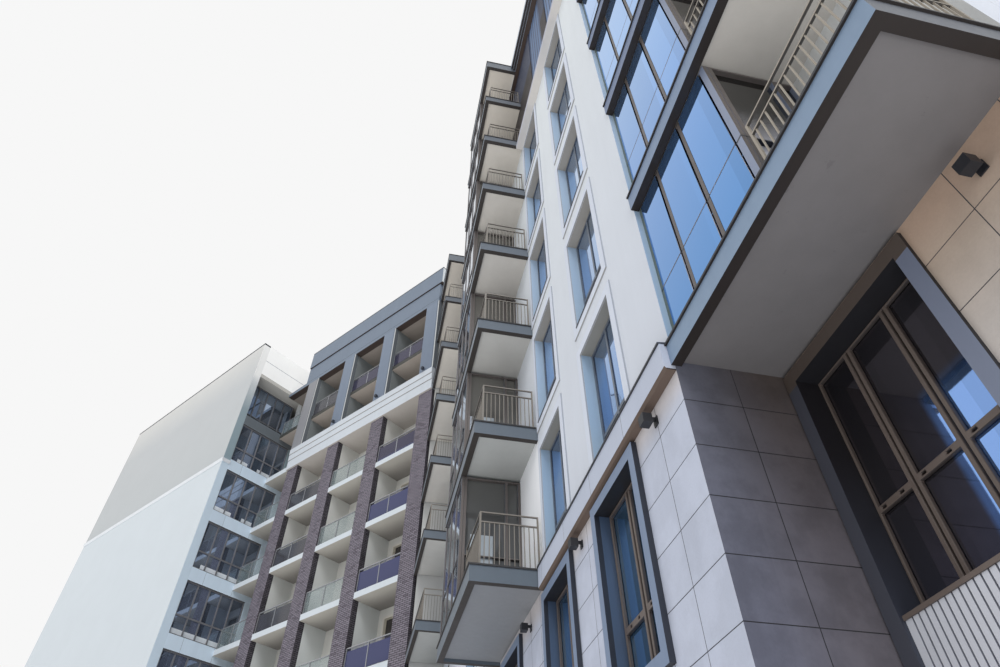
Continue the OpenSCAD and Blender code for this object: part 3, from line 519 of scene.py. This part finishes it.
def window_glass():
    g = Graph("window_glass")
    base, attic_z = g.z < BASE_TOP, g.z > ATTIC_Z
    street = g.x.within(0, CORNER_X) & g.front
    pane = g.random((g.x / 700).floor(), g.storey(), 2)
    # Painted sky reflection in the street glass, bluer and lighter up the block, with pale clouds
    sky_reflection = g.by_height((CREAM_Z, rgb(118, 154, 204)), (11500, rgb(150, 180, 220)),
                      (ATTIC_Z, rgb(158, 188, 226)))
    cloud = g.noise(1500, 3.0).rise(0.45, 0.65)
    low = g.above() < 700
    sky_reflection = g.paint(sky_reflection, (cloud * 0.6, rgb(186, 200, 216)), (low * 0.8, rgb(184, 190, 206)))
    reflected_wall = g.by_height((400, rgb(128, 134, 158)), (3000, rgb(122, 124, 142)),
                                 (5000, rgb(106, 103, 110)))
    reflected_sky = g.x.rise(20520, 20600) & (1 - g.z.rise(5400, 5600))
    recess = g.mix(reflected_sky, reflected_wall, rgb(132, 168, 226))
    blinds = attic_z & (g.x % 230 < 60)
    colour = g.paint(rgb(74, 80, 92),
                     (street, sky_reflection),
                     # Painted sky reflection: plain blue tints in the base and attic glass
                     (street & base, rgb(128, 172, 214)),
                     (street & attic_z, rgb(92, 116, 152)),
                     (street & blinds, rgb(46, 56, 80)),
                     (g.front & (g.x > CORNER_X) & base, recess))
    return g.finish(g.shade(colour, pane * 0.16 + 0.92), 0.03 + 0.57 * attic_z,
                    metallic=0.92 * (1 - attic_z), specular=0.4,
                    normal=g.bump(g.noise(900, 1.0), 2.0))


# Middle wing
def bricks():
    g = Graph("pier_bricks", "middle")
    joints, tone = g.tiled(250, 80, 22, 0, 0, 0.5)
    brick = g.mix(tone, rgb(110, 105, 115), rgb(128, 122, 133))
    brick = g.paint(brick, (tone < 0.1, rgb(98, 92, 102)), (joints, rgb(38, 34, 40)))
    # Painted shade: the piers' sides 58 per cent darker than their fronts
    brick = g.shade(brick, 1 - 0.58 * (abs(g.nx) > 0.5))
    height = (1 - joints) + g.noise(20, 2.0) * 0.1
    return g.finish(g.weathered(brick, 0.03, 0.05, 0.05), 0.7, normal=g.bump(height, 1.5),
                    specular=0.35)


def fins():
    g = Graph("fin_render", "middle")
    colour = g.by_height((4000, rgb(212, 220, 222)), (20000, rgb(212, 212, 208)))
    return g.render(colour, 0.85, 0.02)


def balcony_slab():
    g = Graph("balcony_concrete", "middle")
    # Painted shade: soffits darker from the front edge towards the back wall
    under = g.mix(g.y.rise(100, 1300), rgb(172, 168, 160), rgb(142, 138, 133))
    return g.render(g.paint(rgb(198, 205, 211), (g.under, under)), 0.85, 0.03)


def back_wall(name):
    g = Graph(name, "middle")
    attic_z = g.z > ATTIC_Z + 100
    return g.render(g.paint(rgb(218, 217, 212), (attic_z, rgb(156, 154, 151))), 0.85, 0.02)


def band():
    g = Graph("white_band_render", "middle")
    up = g.z - level(6)
    lines = up.within(270, 297) | up.within(672, 700)
    # Painted shade: undersides darker and warmer than the front
    colour = g.paint(rgb(192, 198, 205), (lines & g.front, rgb(112, 120, 130)),
                     (g.under, rgb(176, 170, 164)))
    return g.render(colour, 0.8)


def pilaster():
    g = Graph("pilaster_metal", "middle")
    u = (g.x - PILASTER_X) % PIER_PITCH
    face = g.by_height((24000, rgb(106, 118, 136)), (29200, rgb(118, 130, 147)))
    colour = g.paint(rgb(136, 142, 144),
                     (g.front, face),
                     (g.front & (g.x < 3500), rgb(136, 137, 142)),
                     (g.front & u.within(830, 850), rgb(56, 60, 68)),
                     (g.front & u.within(900, 961), rgb(196, 198, 196)),
                     (g.side & (g.y < 90), rgb(112, 118, 124)))
    return g.metal(colour, 0.5)


def attic_slab():
    g = Graph("attic_balcony_metal", "middle")
    # Painted shadow: a near-black line along the top of the slab's front, under the railings
    line = g.front & (g.z > level(7) - 45)
    colour = g.paint(rgb(66, 66, 62), (line, rgb(40, 40, 42)), (g.under, rgb(176, 166, 157)))
    return g.metal(colour, 0.55)


def roof_edge():
    g = Graph("roof_edge_metal", "middle")
    z = level(8)
    upper_course, top_line = z + 1250, z + 2510
    lines = g.z.within(z + 1215, z + 1262) | (g.z > top_line) | g.z.within(z - 12, z + 12)
    seams = g.front & ((g.x - PILASTER_X) % PIER_PITCH < 14)
    colour = g.paint(rgb(112, 124, 140),
                     # Painted sunlight: the right end white above the upper course
                     (g.side & (g.z > upper_course), rgb(220, 224, 226)),
                     (g.nx < -0.5, rgb(160, 152, 142)),
                     (g.upright & lines, rgb(52, 60, 70)),
                     (g.under, rgb(66, 56, 52)),
                     (g.under & (g.y > 240), rgb(146, 138, 131)),
                     (seams & 0.35, rgb(92, 102, 114)))
    return g.metal(colour, 0.5)


def middle_railings():
    g = Graph("railing_glass_and_rails", "middle")
    above = g.above()
    u = (g.x - 3006) % PIER_PITCH
    first_bay = g.x < 2100
    first_post = (g.x < 48) | g.x.within(1028, 1074) | (g.x > 2050)
    post = (u < 42) | u.within(1245, 1292) | (u > 2495)
    post = post & (1 - first_bay) | first_post & first_bay
    rail_bottom = 958
    metal = (above > rail_bottom) | post
    clear = g.x.within(6400, 9100) & (g.z < ATTIC_Z) | first_bay
    tint = g.mix(g.z > 20000, rgb(66, 70, 106), rgb(60, 58, 80))
    colour = g.paint(tint,
                     (g.x.within(2900, 5600), rgb(74, 74, 80)),
                     (clear, rgb(152, 166, 168)),
                     (metal, rgb(150, 152, 156)))
    gap = above.within(860, rail_bottom)
    alpha = 1 - (1 - metal) * (clear * 0.62 + 0.08 | gap * (0.9 - clear * 0.3))
    return g.finish(colour, 0.12, metallic=0.3, alpha=alpha)


# Left wing
def strip_colour_and_sunlight(g):
    """Strip by the loggias: darker above the band, pale with painted sunlight at the top storey."""
    return g.by_height((0, rgb(198, 214, 228)), (22700, rgb(198, 214, 227)),
                       (23100, rgb(140, 158, 166)), (26600, rgb(146, 161, 168)),
                       (28800, rgb(206, 210, 212)), (29400, rgb(240, 240, 238)))


def gable():
    g = Graph("gable_render", "middle")
    edge = g.z > 31950
    front = g.by_height((0, rgb(192, 199, 205)), (22700, rgb(198, 205, 210)),
                        (ATTIC_Z, rgb(180, 184, 186)), (29000, rgb(182, 185, 187)),
                        (32000, rgb(200, 200, 198)))
    # The sides take the strip's colour, with its painted sunlight at the top storey
    colour = g.paint(front, (g.side, strip_colour_and_sunlight(g)), (edge, rgb(58, 60, 66)))
    return g.render(colour, 0.85, 0.012, 0.03)


def spandrels():
    g = Graph("spandrel_panels", "middle")
    joints, tone = g.tiled(1650, 9000, 10, 0, 0)
    colour = g.by_height((4000, rgb(208, 224, 238)), (25500, rgb(208, 224, 238)),
                         (25600, rgb(102, 109, 115)))
    colour = g.paint(g.shade(colour, tone * 0.06 + 0.97), (joints, rgb(110, 118, 128)),
                     # Painted shade: undersides dark
                     (g.under, rgb(70, 68, 68)))
    return g.metal(colour, 0.6)


def corner_strip():
    g = Graph("corner_strip_panel", "middle")
    return g.render(strip_colour_and_sunlight(g), 0.7, 0.02)


def parapet():
    g = Graph("parapet_render", "middle")
    line = g.side & g.z.within(30760, 30800)
    # White render lightened to almost pure white: painted sunlight
    return g.render(g.paint(rgb(254, 254, 252), (line, rgb(170, 174, 180))), 0.8, 0.03, 0.03)


def loggia_glass():
    g = Graph("loggia_glass", "middle")
    pane = g.random((g.y / 670).floor(), g.storey(), 3)
    boxes = g.above().within(110, 380) & (pane > 0.4)
    colour = g.by_height((0, rgb(144, 154, 168)), (10000, rgb(132, 144, 166)),
                         (28000, rgb(144, 158, 178)))
    colour = g.shade(g.paint(colour, (boxes, rgb(222, 228, 234))), pane * 0.3 + 0.85)
    return g.glass(colour, mirror=0.85 - 0.7 * boxes)


# Shared materials
def plain_metal(name, wing, *colour):
    return Graph(name, wing).metal(rgb(*colour))


def plain_render(name, wing, *colour):
    return Graph(name, wing).render(rgb(*colour), 0.8)


def cream_frames():
    g = Graph("cream_window_metal")
    return g.metal(g.paint(rgb(104, 112, 124), (1 - g.front, rgb(64, 70, 80))), 0.45)


def ribbed():
    g = Graph("ribbed_white_panel")
    # Painted shade: the ribs' flanks and the groove bottoms darker than the rib faces
    colour = g.paint(rgb(206, 208, 216),
                     (1 - (g.ny < -0.9), rgb(150, 152, 164)),
                     ((g.y > 1410) & g.front, rgb(122, 124, 136)))
    return g.metal(colour, 0.5)


# What each node wears, by the node's name
paints = {
    "stone_base_bands": stone(),
    "return_walls": return_wall(),
    "base_surrounds": surround(),
    "ribbed_panel": ribbed(),
    "string_course": string_course(),
    "drip_cap": plain_metal("drip_metal", "near", 54, 55, 60),
    "cream_bands": cream("cream_render"),
    "window_surrounds": surround_render(),
    "cream_cornice": cornice(),
    "attic_piers": attic(),
    "near_floors": plain_render("floor_concrete", "near", 190, 188, 182),
    "near_roof": eave(),
    "wall_lamps": plain_metal("lamp_metal", "near", 42, 43, 48),
    "corner_balconies": corner_slab(),
    "stack_balconies": stack_slab(),
    "corner_railings": railings(),
    "corner_enclosures": enclosure_frame(),
    "enclosure_glass": enclosure_glass(),
    "brick_piers": bricks(),
    "balcony_fins": fins(),
    "middle_balconies": balcony_slab(),
    "middle_back_bands": back_wall("back_render"),
    "white_band": band(),
    "attic_pilasters": pilaster(),
    "attic_balconies": attic_slab(),
    "middle_roof": roof_edge(),
    "middle_railings": middle_railings(),
    "gable_wall": gable(),
    "gable_band": plain_render("gable_band_render", "middle", 212, 216, 220),
    "left_spandrels": spandrels(),
    "left_corner_piers": corner_strip(),
    "left_parapet": parapet(),
    "loggia_frames": plain_metal("loggia_frame_metal", "middle", 116, 116, 120),
    "loggia_glass": loggia_glass(),
    "window_frames": cream_frames(),
    "window_glass": window_glass(),
}
# Nodes that wear another node's material
SAME = {
    "stone_base_piers": "stone_base_bands",
    "cream_piers": "cream_bands",
    "stack_railings": "corner_railings",
    "stack_enclosures": "corner_enclosures",
    "middle_back_piers": "middle_back_bands",
    "middle_floors": "near_floors",
    "left_floors": "near_floors",
}
for name, node in nodes.items():
    paint = paints[SAME.get(name, name)]
    node.data.materials.clear()
    node.data.materials.append(paint)


# Pieces cut from flat sheets, as the joinery is
def spot(wing, x, y, z):
    """World place, in metres, of a point given in a wing's real mm."""
    if wing == "middle":
        x, y = (math.cos(BEND) * (x - MIDDLE_L) - math.sin(BEND) * y,
                math.sin(BEND) * (x - MIDDLE_L) + math.cos(BEND) * y - STACK_PROJ)
    return ((x - NEAR_L / 2) / REAL, (y - WING_D / 2) / REAL, z / REAL)


def along_wing(wing, point):
    """How far along its wing a world point lies, in real mm."""
    x, y = point[0] * REAL + NEAR_L / 2, point[1] * REAL + WING_D / 2
    if wing == "middle":
        return math.cos(BEND) * x + math.sin(BEND) * (y + STACK_PROJ) + MIDDLE_L
    return x


def apply_modifier(piece, kind, **settings):
    modifier = piece.modifiers.new(kind.lower(), kind)
    for key, value in settings.items():
        setattr(modifier, key, value)
    bpy.ops.object.modifier_apply(modifier=modifier.name)


def cut_frame(name, wing, span, rise, y, holes, depth, edge=0):
    """A flat frame facing the street: a plane cut along its holes, emptied there and made thick."""
    (x0, x1), (z0, z1) = span, rise
    bpy.ops.object.select_all(action="DESELECT")
    bpy.ops.mesh.primitive_plane_add(size=1, location=spot(wing, (x0 + x1) / 2, y, (z0 + z1) / 2),
                                     rotation=(math.pi / 2, 0, TURN[wing]))
    piece = bpy.context.object
    piece.name = name
    piece.scale = ((x1 - x0) / REAL, (z1 - z0) / REAL, 1)
    bpy.ops.object.transform_apply(location=True, rotation=True, scale=True)
    across = (math.cos(TURN[wing]), math.sin(TURN[wing]), 0)
    cut_x = sorted({x for hole in holes for x in hole[:2]})
    cut_z = sorted({z for hole in holes for z in hole[2:]})
    cuts = [(spot(wing, x, y, z0), across) for x in cut_x]
    cuts += [(spot(wing, x0, y, z), (0, 0, 1)) for z in cut_z]
    bpy.ops.object.mode_set(mode="EDIT")
    for place, normal in cuts:
        bpy.ops.mesh.select_all(action="SELECT")
        bpy.ops.mesh.bisect(plane_co=place, plane_no=normal)
    bpy.ops.mesh.select_all(action="DESELECT")
    bpy.ops.mesh.select_mode(type="FACE")
    bpy.ops.object.mode_set(mode="OBJECT")
    for face in piece.data.polygons:
        x, z = along_wing(wing, face.center), face.center[2] * REAL
        face.select = any(a < x < b and c < z < d for a, b, c, d in holes)
    bpy.ops.object.mode_set(mode="EDIT")
    bpy.ops.mesh.delete(type="FACE")
    bpy.ops.mesh.select_all(action="SELECT")
    bpy.ops.mesh.dissolve_limited(angle_limit=0.01)
    bpy.ops.object.mode_set(mode="OBJECT")
    apply_modifier(piece, "SOLIDIFY", thickness=depth / REAL, offset=-1)
    if edge:
        apply_modifier(piece, "BEVEL", width=edge / REAL, segments=1, limit_method="ANGLE")
    return piece


def block(name, wing, x, y, z, edge):
    """A small housing between x, y and z ranges, its front drawn in and its edges eased."""
    bpy.ops.object.select_all(action="DESELECT")
    centre = spot(wing, sum(x) / 2, sum(y) / 2, sum(z) / 2)
    bpy.ops.mesh.primitive_cube_add(size=1, location=centre, rotation=(0, 0, TURN[wing]))
    piece = bpy.context.object
    piece.name = name
    piece.scale = ((x[1] - x[0]) / REAL, (y[1] - y[0]) / REAL, (z[1] - z[0]) / REAL)
    bpy.ops.object.transform_apply(location=True, rotation=True, scale=True)
    out = (math.sin(TURN[wing]), -math.cos(TURN[wing]))
    bpy.ops.object.mode_set(mode="EDIT")
    bpy.ops.mesh.select_all(action="DESELECT")
    bpy.ops.mesh.select_mode(type="FACE")
    bpy.ops.object.mode_set(mode="OBJECT")
    for face in piece.data.polygons:
        face.select = face.normal[0] * out[0] + face.normal[1] * out[1] > 0.9
    bpy.ops.object.mode_set(mode="EDIT")
    bpy.ops.mesh.inset(thickness=2 * edge / REAL)
    bpy.ops.transform.translate(value=(-out[0] * edge / REAL, -out[1] * edge / REAL, 0))
    bpy.ops.object.mode_set(mode="OBJECT")
    apply_modifier(piece, "BEVEL", width=edge / REAL, segments=2, limit_method="ANGLE")
    return piece


def joined(name, pieces):
    bpy.ops.object.select_all(action="DESELECT")
    for piece in pieces:
        piece.select_set(True)
    bpy.context.view_layer.objects.active = pieces[0]
    if len(pieces) > 1:
        bpy.ops.object.join()
    pieces[0].name = name
    return pieces[0]


def repeated(name, piece, wing, moves):
    """The piece and its copies, moved by (along, up) in real mm, each with its own mesh."""
    copies = [piece]
    for along, up in moves:
        bpy.ops.object.select_all(action="DESELECT")
        piece.select_set(True)
        bpy.context.view_layer.objects.active = piece
        bpy.ops.object.duplicate()
        bpy.ops.transform.translate(value=(along * math.cos(TURN[wing]) / REAL,
                                           along * math.sin(TURN[wing]) / REAL, up / REAL))
        bpy.ops.object.transform_apply(location=True, rotation=False, scale=False)
        copies.append(bpy.context.object)
    return joined(name, copies)


def finished(piece, paint):
    """Every piece rides the block and wears the material it is given."""
    piece.data.materials.clear()
    piece.data.materials.append(paint)
    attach(piece, "root")
    return piece


# Bronze frames: the lights, the gap in a mullion and the slots in a transom are all holes
def lights(columns, rows):
    return [(*column, *row) for column in columns for row in rows]


BASE_WINDOW_X = (16282, 13432, 9996, 7864, 5014)
BASE_HEADS = (6445, 3140)


def base_windows():
    left, head, sill, transom = BASE_WINDOW_X[0], BASE_HEADS[0], 4100, 4770
    first, second = (left + 238, left + 833), (left + 990, left + 1500)
    holes = lights((first, second), ((sill + 55, transom), (transom + 90, head - 50)))
    for x in (first[0] + 150, first[0] + 420, second[0] + 70, second[0] + 320):
        holes.append((x, x + 60, transom + 34, transom + 58))
    holes.append((first[1] + 56, second[0] - 52, sill + 20, head - 30))
    piece = cut_frame("base_window_frames", "near", (left + 190, left + 1560), (sill, head - 6),
                      140, holes, 46, FRAME_EDGE)
    moves = [(x - left, z - head) for x in BASE_WINDOW_X for z in BASE_HEADS][1:]
    return repeated("base_window_frames", piece, "near", moves)


def recess_window():
    a, sill, head, transom = CORNER_X, 475, 6555, 4870
    columns = [(a + 230, a + 688), (a + 808, a + 1330), (a + 1452, a + 1962)]
    holes = lights(columns, ((sill + 60, transom), (transom + 75, head - 36)))
    for x0, x1 in columns:
        holes += [(x, x + 62, transom + 26, transom + 50) for x in (x0 + 40, x1 - 150)]
    holes += [(x, x + 24, sill + 20, head - 20) for x in (a + 737, a + 1379)]
    piece = cut_frame("recess_window_frame", "near", (a + 196, a + 1994), (sill, head - 4),
                      1625, holes, 42, FRAME_EDGE)
    rail = cut_frame("panel_rail", "near", (a + 195, a + 1995), (level(0), level(0) + 42), 1380,
                     [(a + 900, a + 904, 3840, 3852)], 80, FRAME_EDGE)
    return joined("recess_window_frame", [piece, rail])


# The four window columns of the five cream storeys
CREAM_X = [5062, 7912, 13680, 16530]


def storey_moves(first, last):
    return [(0, STOREY_H * k) for k in range(first, last + 1)]


def cream_moves():
    return [(x - CREAM_X[0], STOREY_H * k) for x in CREAM_X for k in range(5)][1:]


def panes(name, x0, x1, z0, z1, y, transom):
    """Two panes, one above the other: a sheet cut at its transom, each half inset by its seal."""
    bpy.ops.object.select_all(action="DESELECT")
    bpy.ops.mesh.primitive_plane_add(size=1, location=spot("near", (x0 + x1) / 2, y, (z0 + z1) / 2),
                                     rotation=(math.pi / 2, 0, 0))
    piece = bpy.context.object
    piece.name = name
    piece.scale = ((x1 - x0) / REAL, (z1 - z0) / REAL, 1)
    bpy.ops.object.transform_apply(location=True, rotation=True, scale=True)
    bpy.ops.object.mode_set(mode="EDIT")
    bpy.ops.mesh.select_all(action="SELECT")
    bpy.ops.mesh.bisect(plane_co=spot("near", x0, y, transom), plane_no=(0, 0, 1))
    bpy.ops.mesh.select_all(action="SELECT")
    bpy.ops.mesh.inset(thickness=SEAL / REAL, use_individual=True)
    bpy.ops.mesh.select_all(action="INVERT")
    bpy.ops.mesh.delete(type="FACE")
    bpy.ops.object.mode_set(mode="OBJECT")
    apply_modifier(piece, "SOLIDIFY", thickness=PANE_T / REAL, offset=-1)
    return piece


def enclosure_panes():
    """Front glass of the enclosures, between their posts and before their transoms."""
    stack_x, corner_y, stack_y, columns = 9546, 78, -1330, []
    bottom, transom, top = level(1) + 10, level(1) + 1000, level(1) + 2855
    parts = ((CORNER_X, corner_y, ((68, 657), (733, 1397), (1473, 2137))),
             (stack_x, stack_y, ((61, 752), (814, 1506), (1568, 2259))))
    for x, y, ends in parts:
        for a, b in ends:
            sheet = panes("enclosure_panes", x + a, x + b, bottom, top, y, transom)
            columns.append(repeated("enclosure_panes", sheet, "near", storey_moves(1, 6)))
    return joined("enclosure_panes", columns)


def window_panes():
    """Glass of the cream storeys' windows, close behind the faces of their frames."""
    x, y, width = CREAM_X[0], 206, 700
    bottom, transom, top = level(1) + 20, level(1) + 730, level(1) + 2500
    sheets = [panes("window_panes", x0, x0 + width, bottom, top, y, transom)
              for x0 in (x + 20, x + 20 + width)]
    return repeated("window_panes", joined("window_panes", sheets), "near", cream_moves())


def sills():
    x, z = CREAM_X[0], level(1)
    piece = block("window_sills", "near", (x + 4, x + 1436), (-40, 176), (z, z + 26), SMALL_EDGE)
    return repeated("window_sills", piece, "near", cream_moves())


def door_frames():
    """Rims, sashes and panes of the middle wing's balcony doors, each behind the one before."""
    rims, sashes, sheets = [], [], []
    openings = ((60, 1990), (3315, 5470), (7400, 8920), (10215, 12370))
    rim_y, sash_y, pane_y = 1436, 1456, 1480
    moves = storey_moves(1, 7)
    z = level(0)
    for x0, x1 in openings:
        rim = cut_frame("door_rims", "middle", (x0, x1), (z, z + 2560), rim_y,
                        [(x0 + 90, x1 - 70, z - 5, z + 2470)], 60, FRAME_EDGE)
        rims.append(repeated("door_rims", rim, "middle", moves))
        middle = (x0 + x1) / 2 + 100
        holes = lights(((x0 + 230, middle - 45), (middle + 45, x1 - 150)),
                       ((z + 90, z + 760), (z + 850, z + 2380)))
        sash = cut_frame("door_sashes", "middle", (x0 + 92, x1 - 72), (z + 2, z + 2468), sash_y,
                         holes, 20, SMALL_EDGE)
        sashes.append(repeated("door_sashes", sash, "middle", moves))
        pane = cut_frame("door_panes", "middle", (x0 + 100, x1 - 80), (z + 10, z + 2460), pane_y,
                         [(middle - 15, middle + 15, z + 5, z + 2465)], 12)
        sheets.append(repeated("door_panes", pane, "middle", moves))
    return joined("door_rims", rims), joined("door_sashes", sashes), joined("door_panes", sheets)


def pilaster_lamps():
    z = level(6) + 1130
    body = block("pilaster_lamps", "middle", (5790, 5920), (-330, -190), (z, z + 150), 10)
    arm = block("pilaster_lamp_arm", "middle", (5835, 5875), (-192, -149), (z + 55, z + 95),
                SMALL_EDGE)
    lamp = joined("pilaster_lamps", [body, arm])
    return repeated("pilaster_lamps", lamp, "middle", [(PIER_PITCH, 0), (2 * PIER_PITCH, 0)])


def bronze_joinery():
    g = Graph("bronze_joinery")
    # Painted shade: undersides and sides darker than the fronts
    colour = g.paint(rgb(108, 97, 91), (g.under, rgb(70, 64, 62)), (g.side, rgb(92, 82, 77)))
    return g.metal(colour, 0.36)


def door_glass():
    g = Graph("door_glass", "middle")
    return g.glass(g.shade(rgb(70, 66, 64), g.noise(600) * 0.6 + 0.7), mirror=0.3)


bronze_paint = bronze_joinery()
dark_sill = plain_metal("sill_metal", "near", 62, 64, 72)
finished(base_windows(), bronze_paint)
finished(recess_window(), bronze_paint)
finished(enclosure_panes(), paints["enclosure_glass"])
finished(window_panes(), paints["window_glass"])
finished(sills(), dark_sill)
door_rims, door_sashes, door_panes = door_frames()
finished(door_rims, plain_render("rim_render", "middle", 222, 218, 210))
finished(door_sashes, plain_metal("door_sash_metal", "middle", 176, 170, 156))
finished(door_panes, door_glass())
finished(pilaster_lamps(), plain_metal("small_lamp_metal", "middle", 48, 52, 62))


# Plain pale floor, pale background and soft light
def add_stage():
    bpy.ops.object.select_all(action="DESELECT")
    bpy.ops.mesh.primitive_plane_add(size=400, location=(0, 0, -0.002))
    floor = bpy.context.object
    floor.name = "floor"
    g = Graph("pale_floor")
    floor.data.materials.append(g.finish(rgb(226, 226, 226), 0.9, specular=0.1))
    floor.visible_shadow = False

    world = bpy.data.worlds.new("studio")
    bpy.context.scene.world = world
    world.use_nodes = True
    studio = Nodes(world.node_tree)
    camera, glossy, through = [studio.node("ShaderNodeLightPath", {}, out=ray)
                               for ray in ("Is Camera Ray", "Is Glossy Ray", "Is Transmission Ray")]
    light, seen = 0.92, 0.93
    strength = studio.node("ShaderNodeMapRange", {}, camera | glossy | through, 0.0, 1.0,
                           light, seen)
    background = world.node_tree.nodes["Background"]
    background.inputs["Color"].default_value = (1, 1, 1, 1)
    studio.plug(background.inputs["Strength"], strength)

    # The second lamp stands for the light that the ground throws back up under the balconies
    lamps = (("soft_sun", 1.0, 25, 50, 76), ("ground_light", 1.7, 60, 163, 60))
    for name, energy, angle, pitch, heading in lamps:
        sun = bpy.data.lights.new(name, "SUN")
        sun.energy = energy
        sun.angle = math.radians(angle)
        lamp = bpy.data.objects.new(name, sun)
        bpy.context.scene.collection.objects.link(lamp)
        lamp.rotation_euler = (math.radians(pitch), 0, math.radians(heading))


add_stage()

bpy.context.scene.view_settings.view_transform = "Standard"
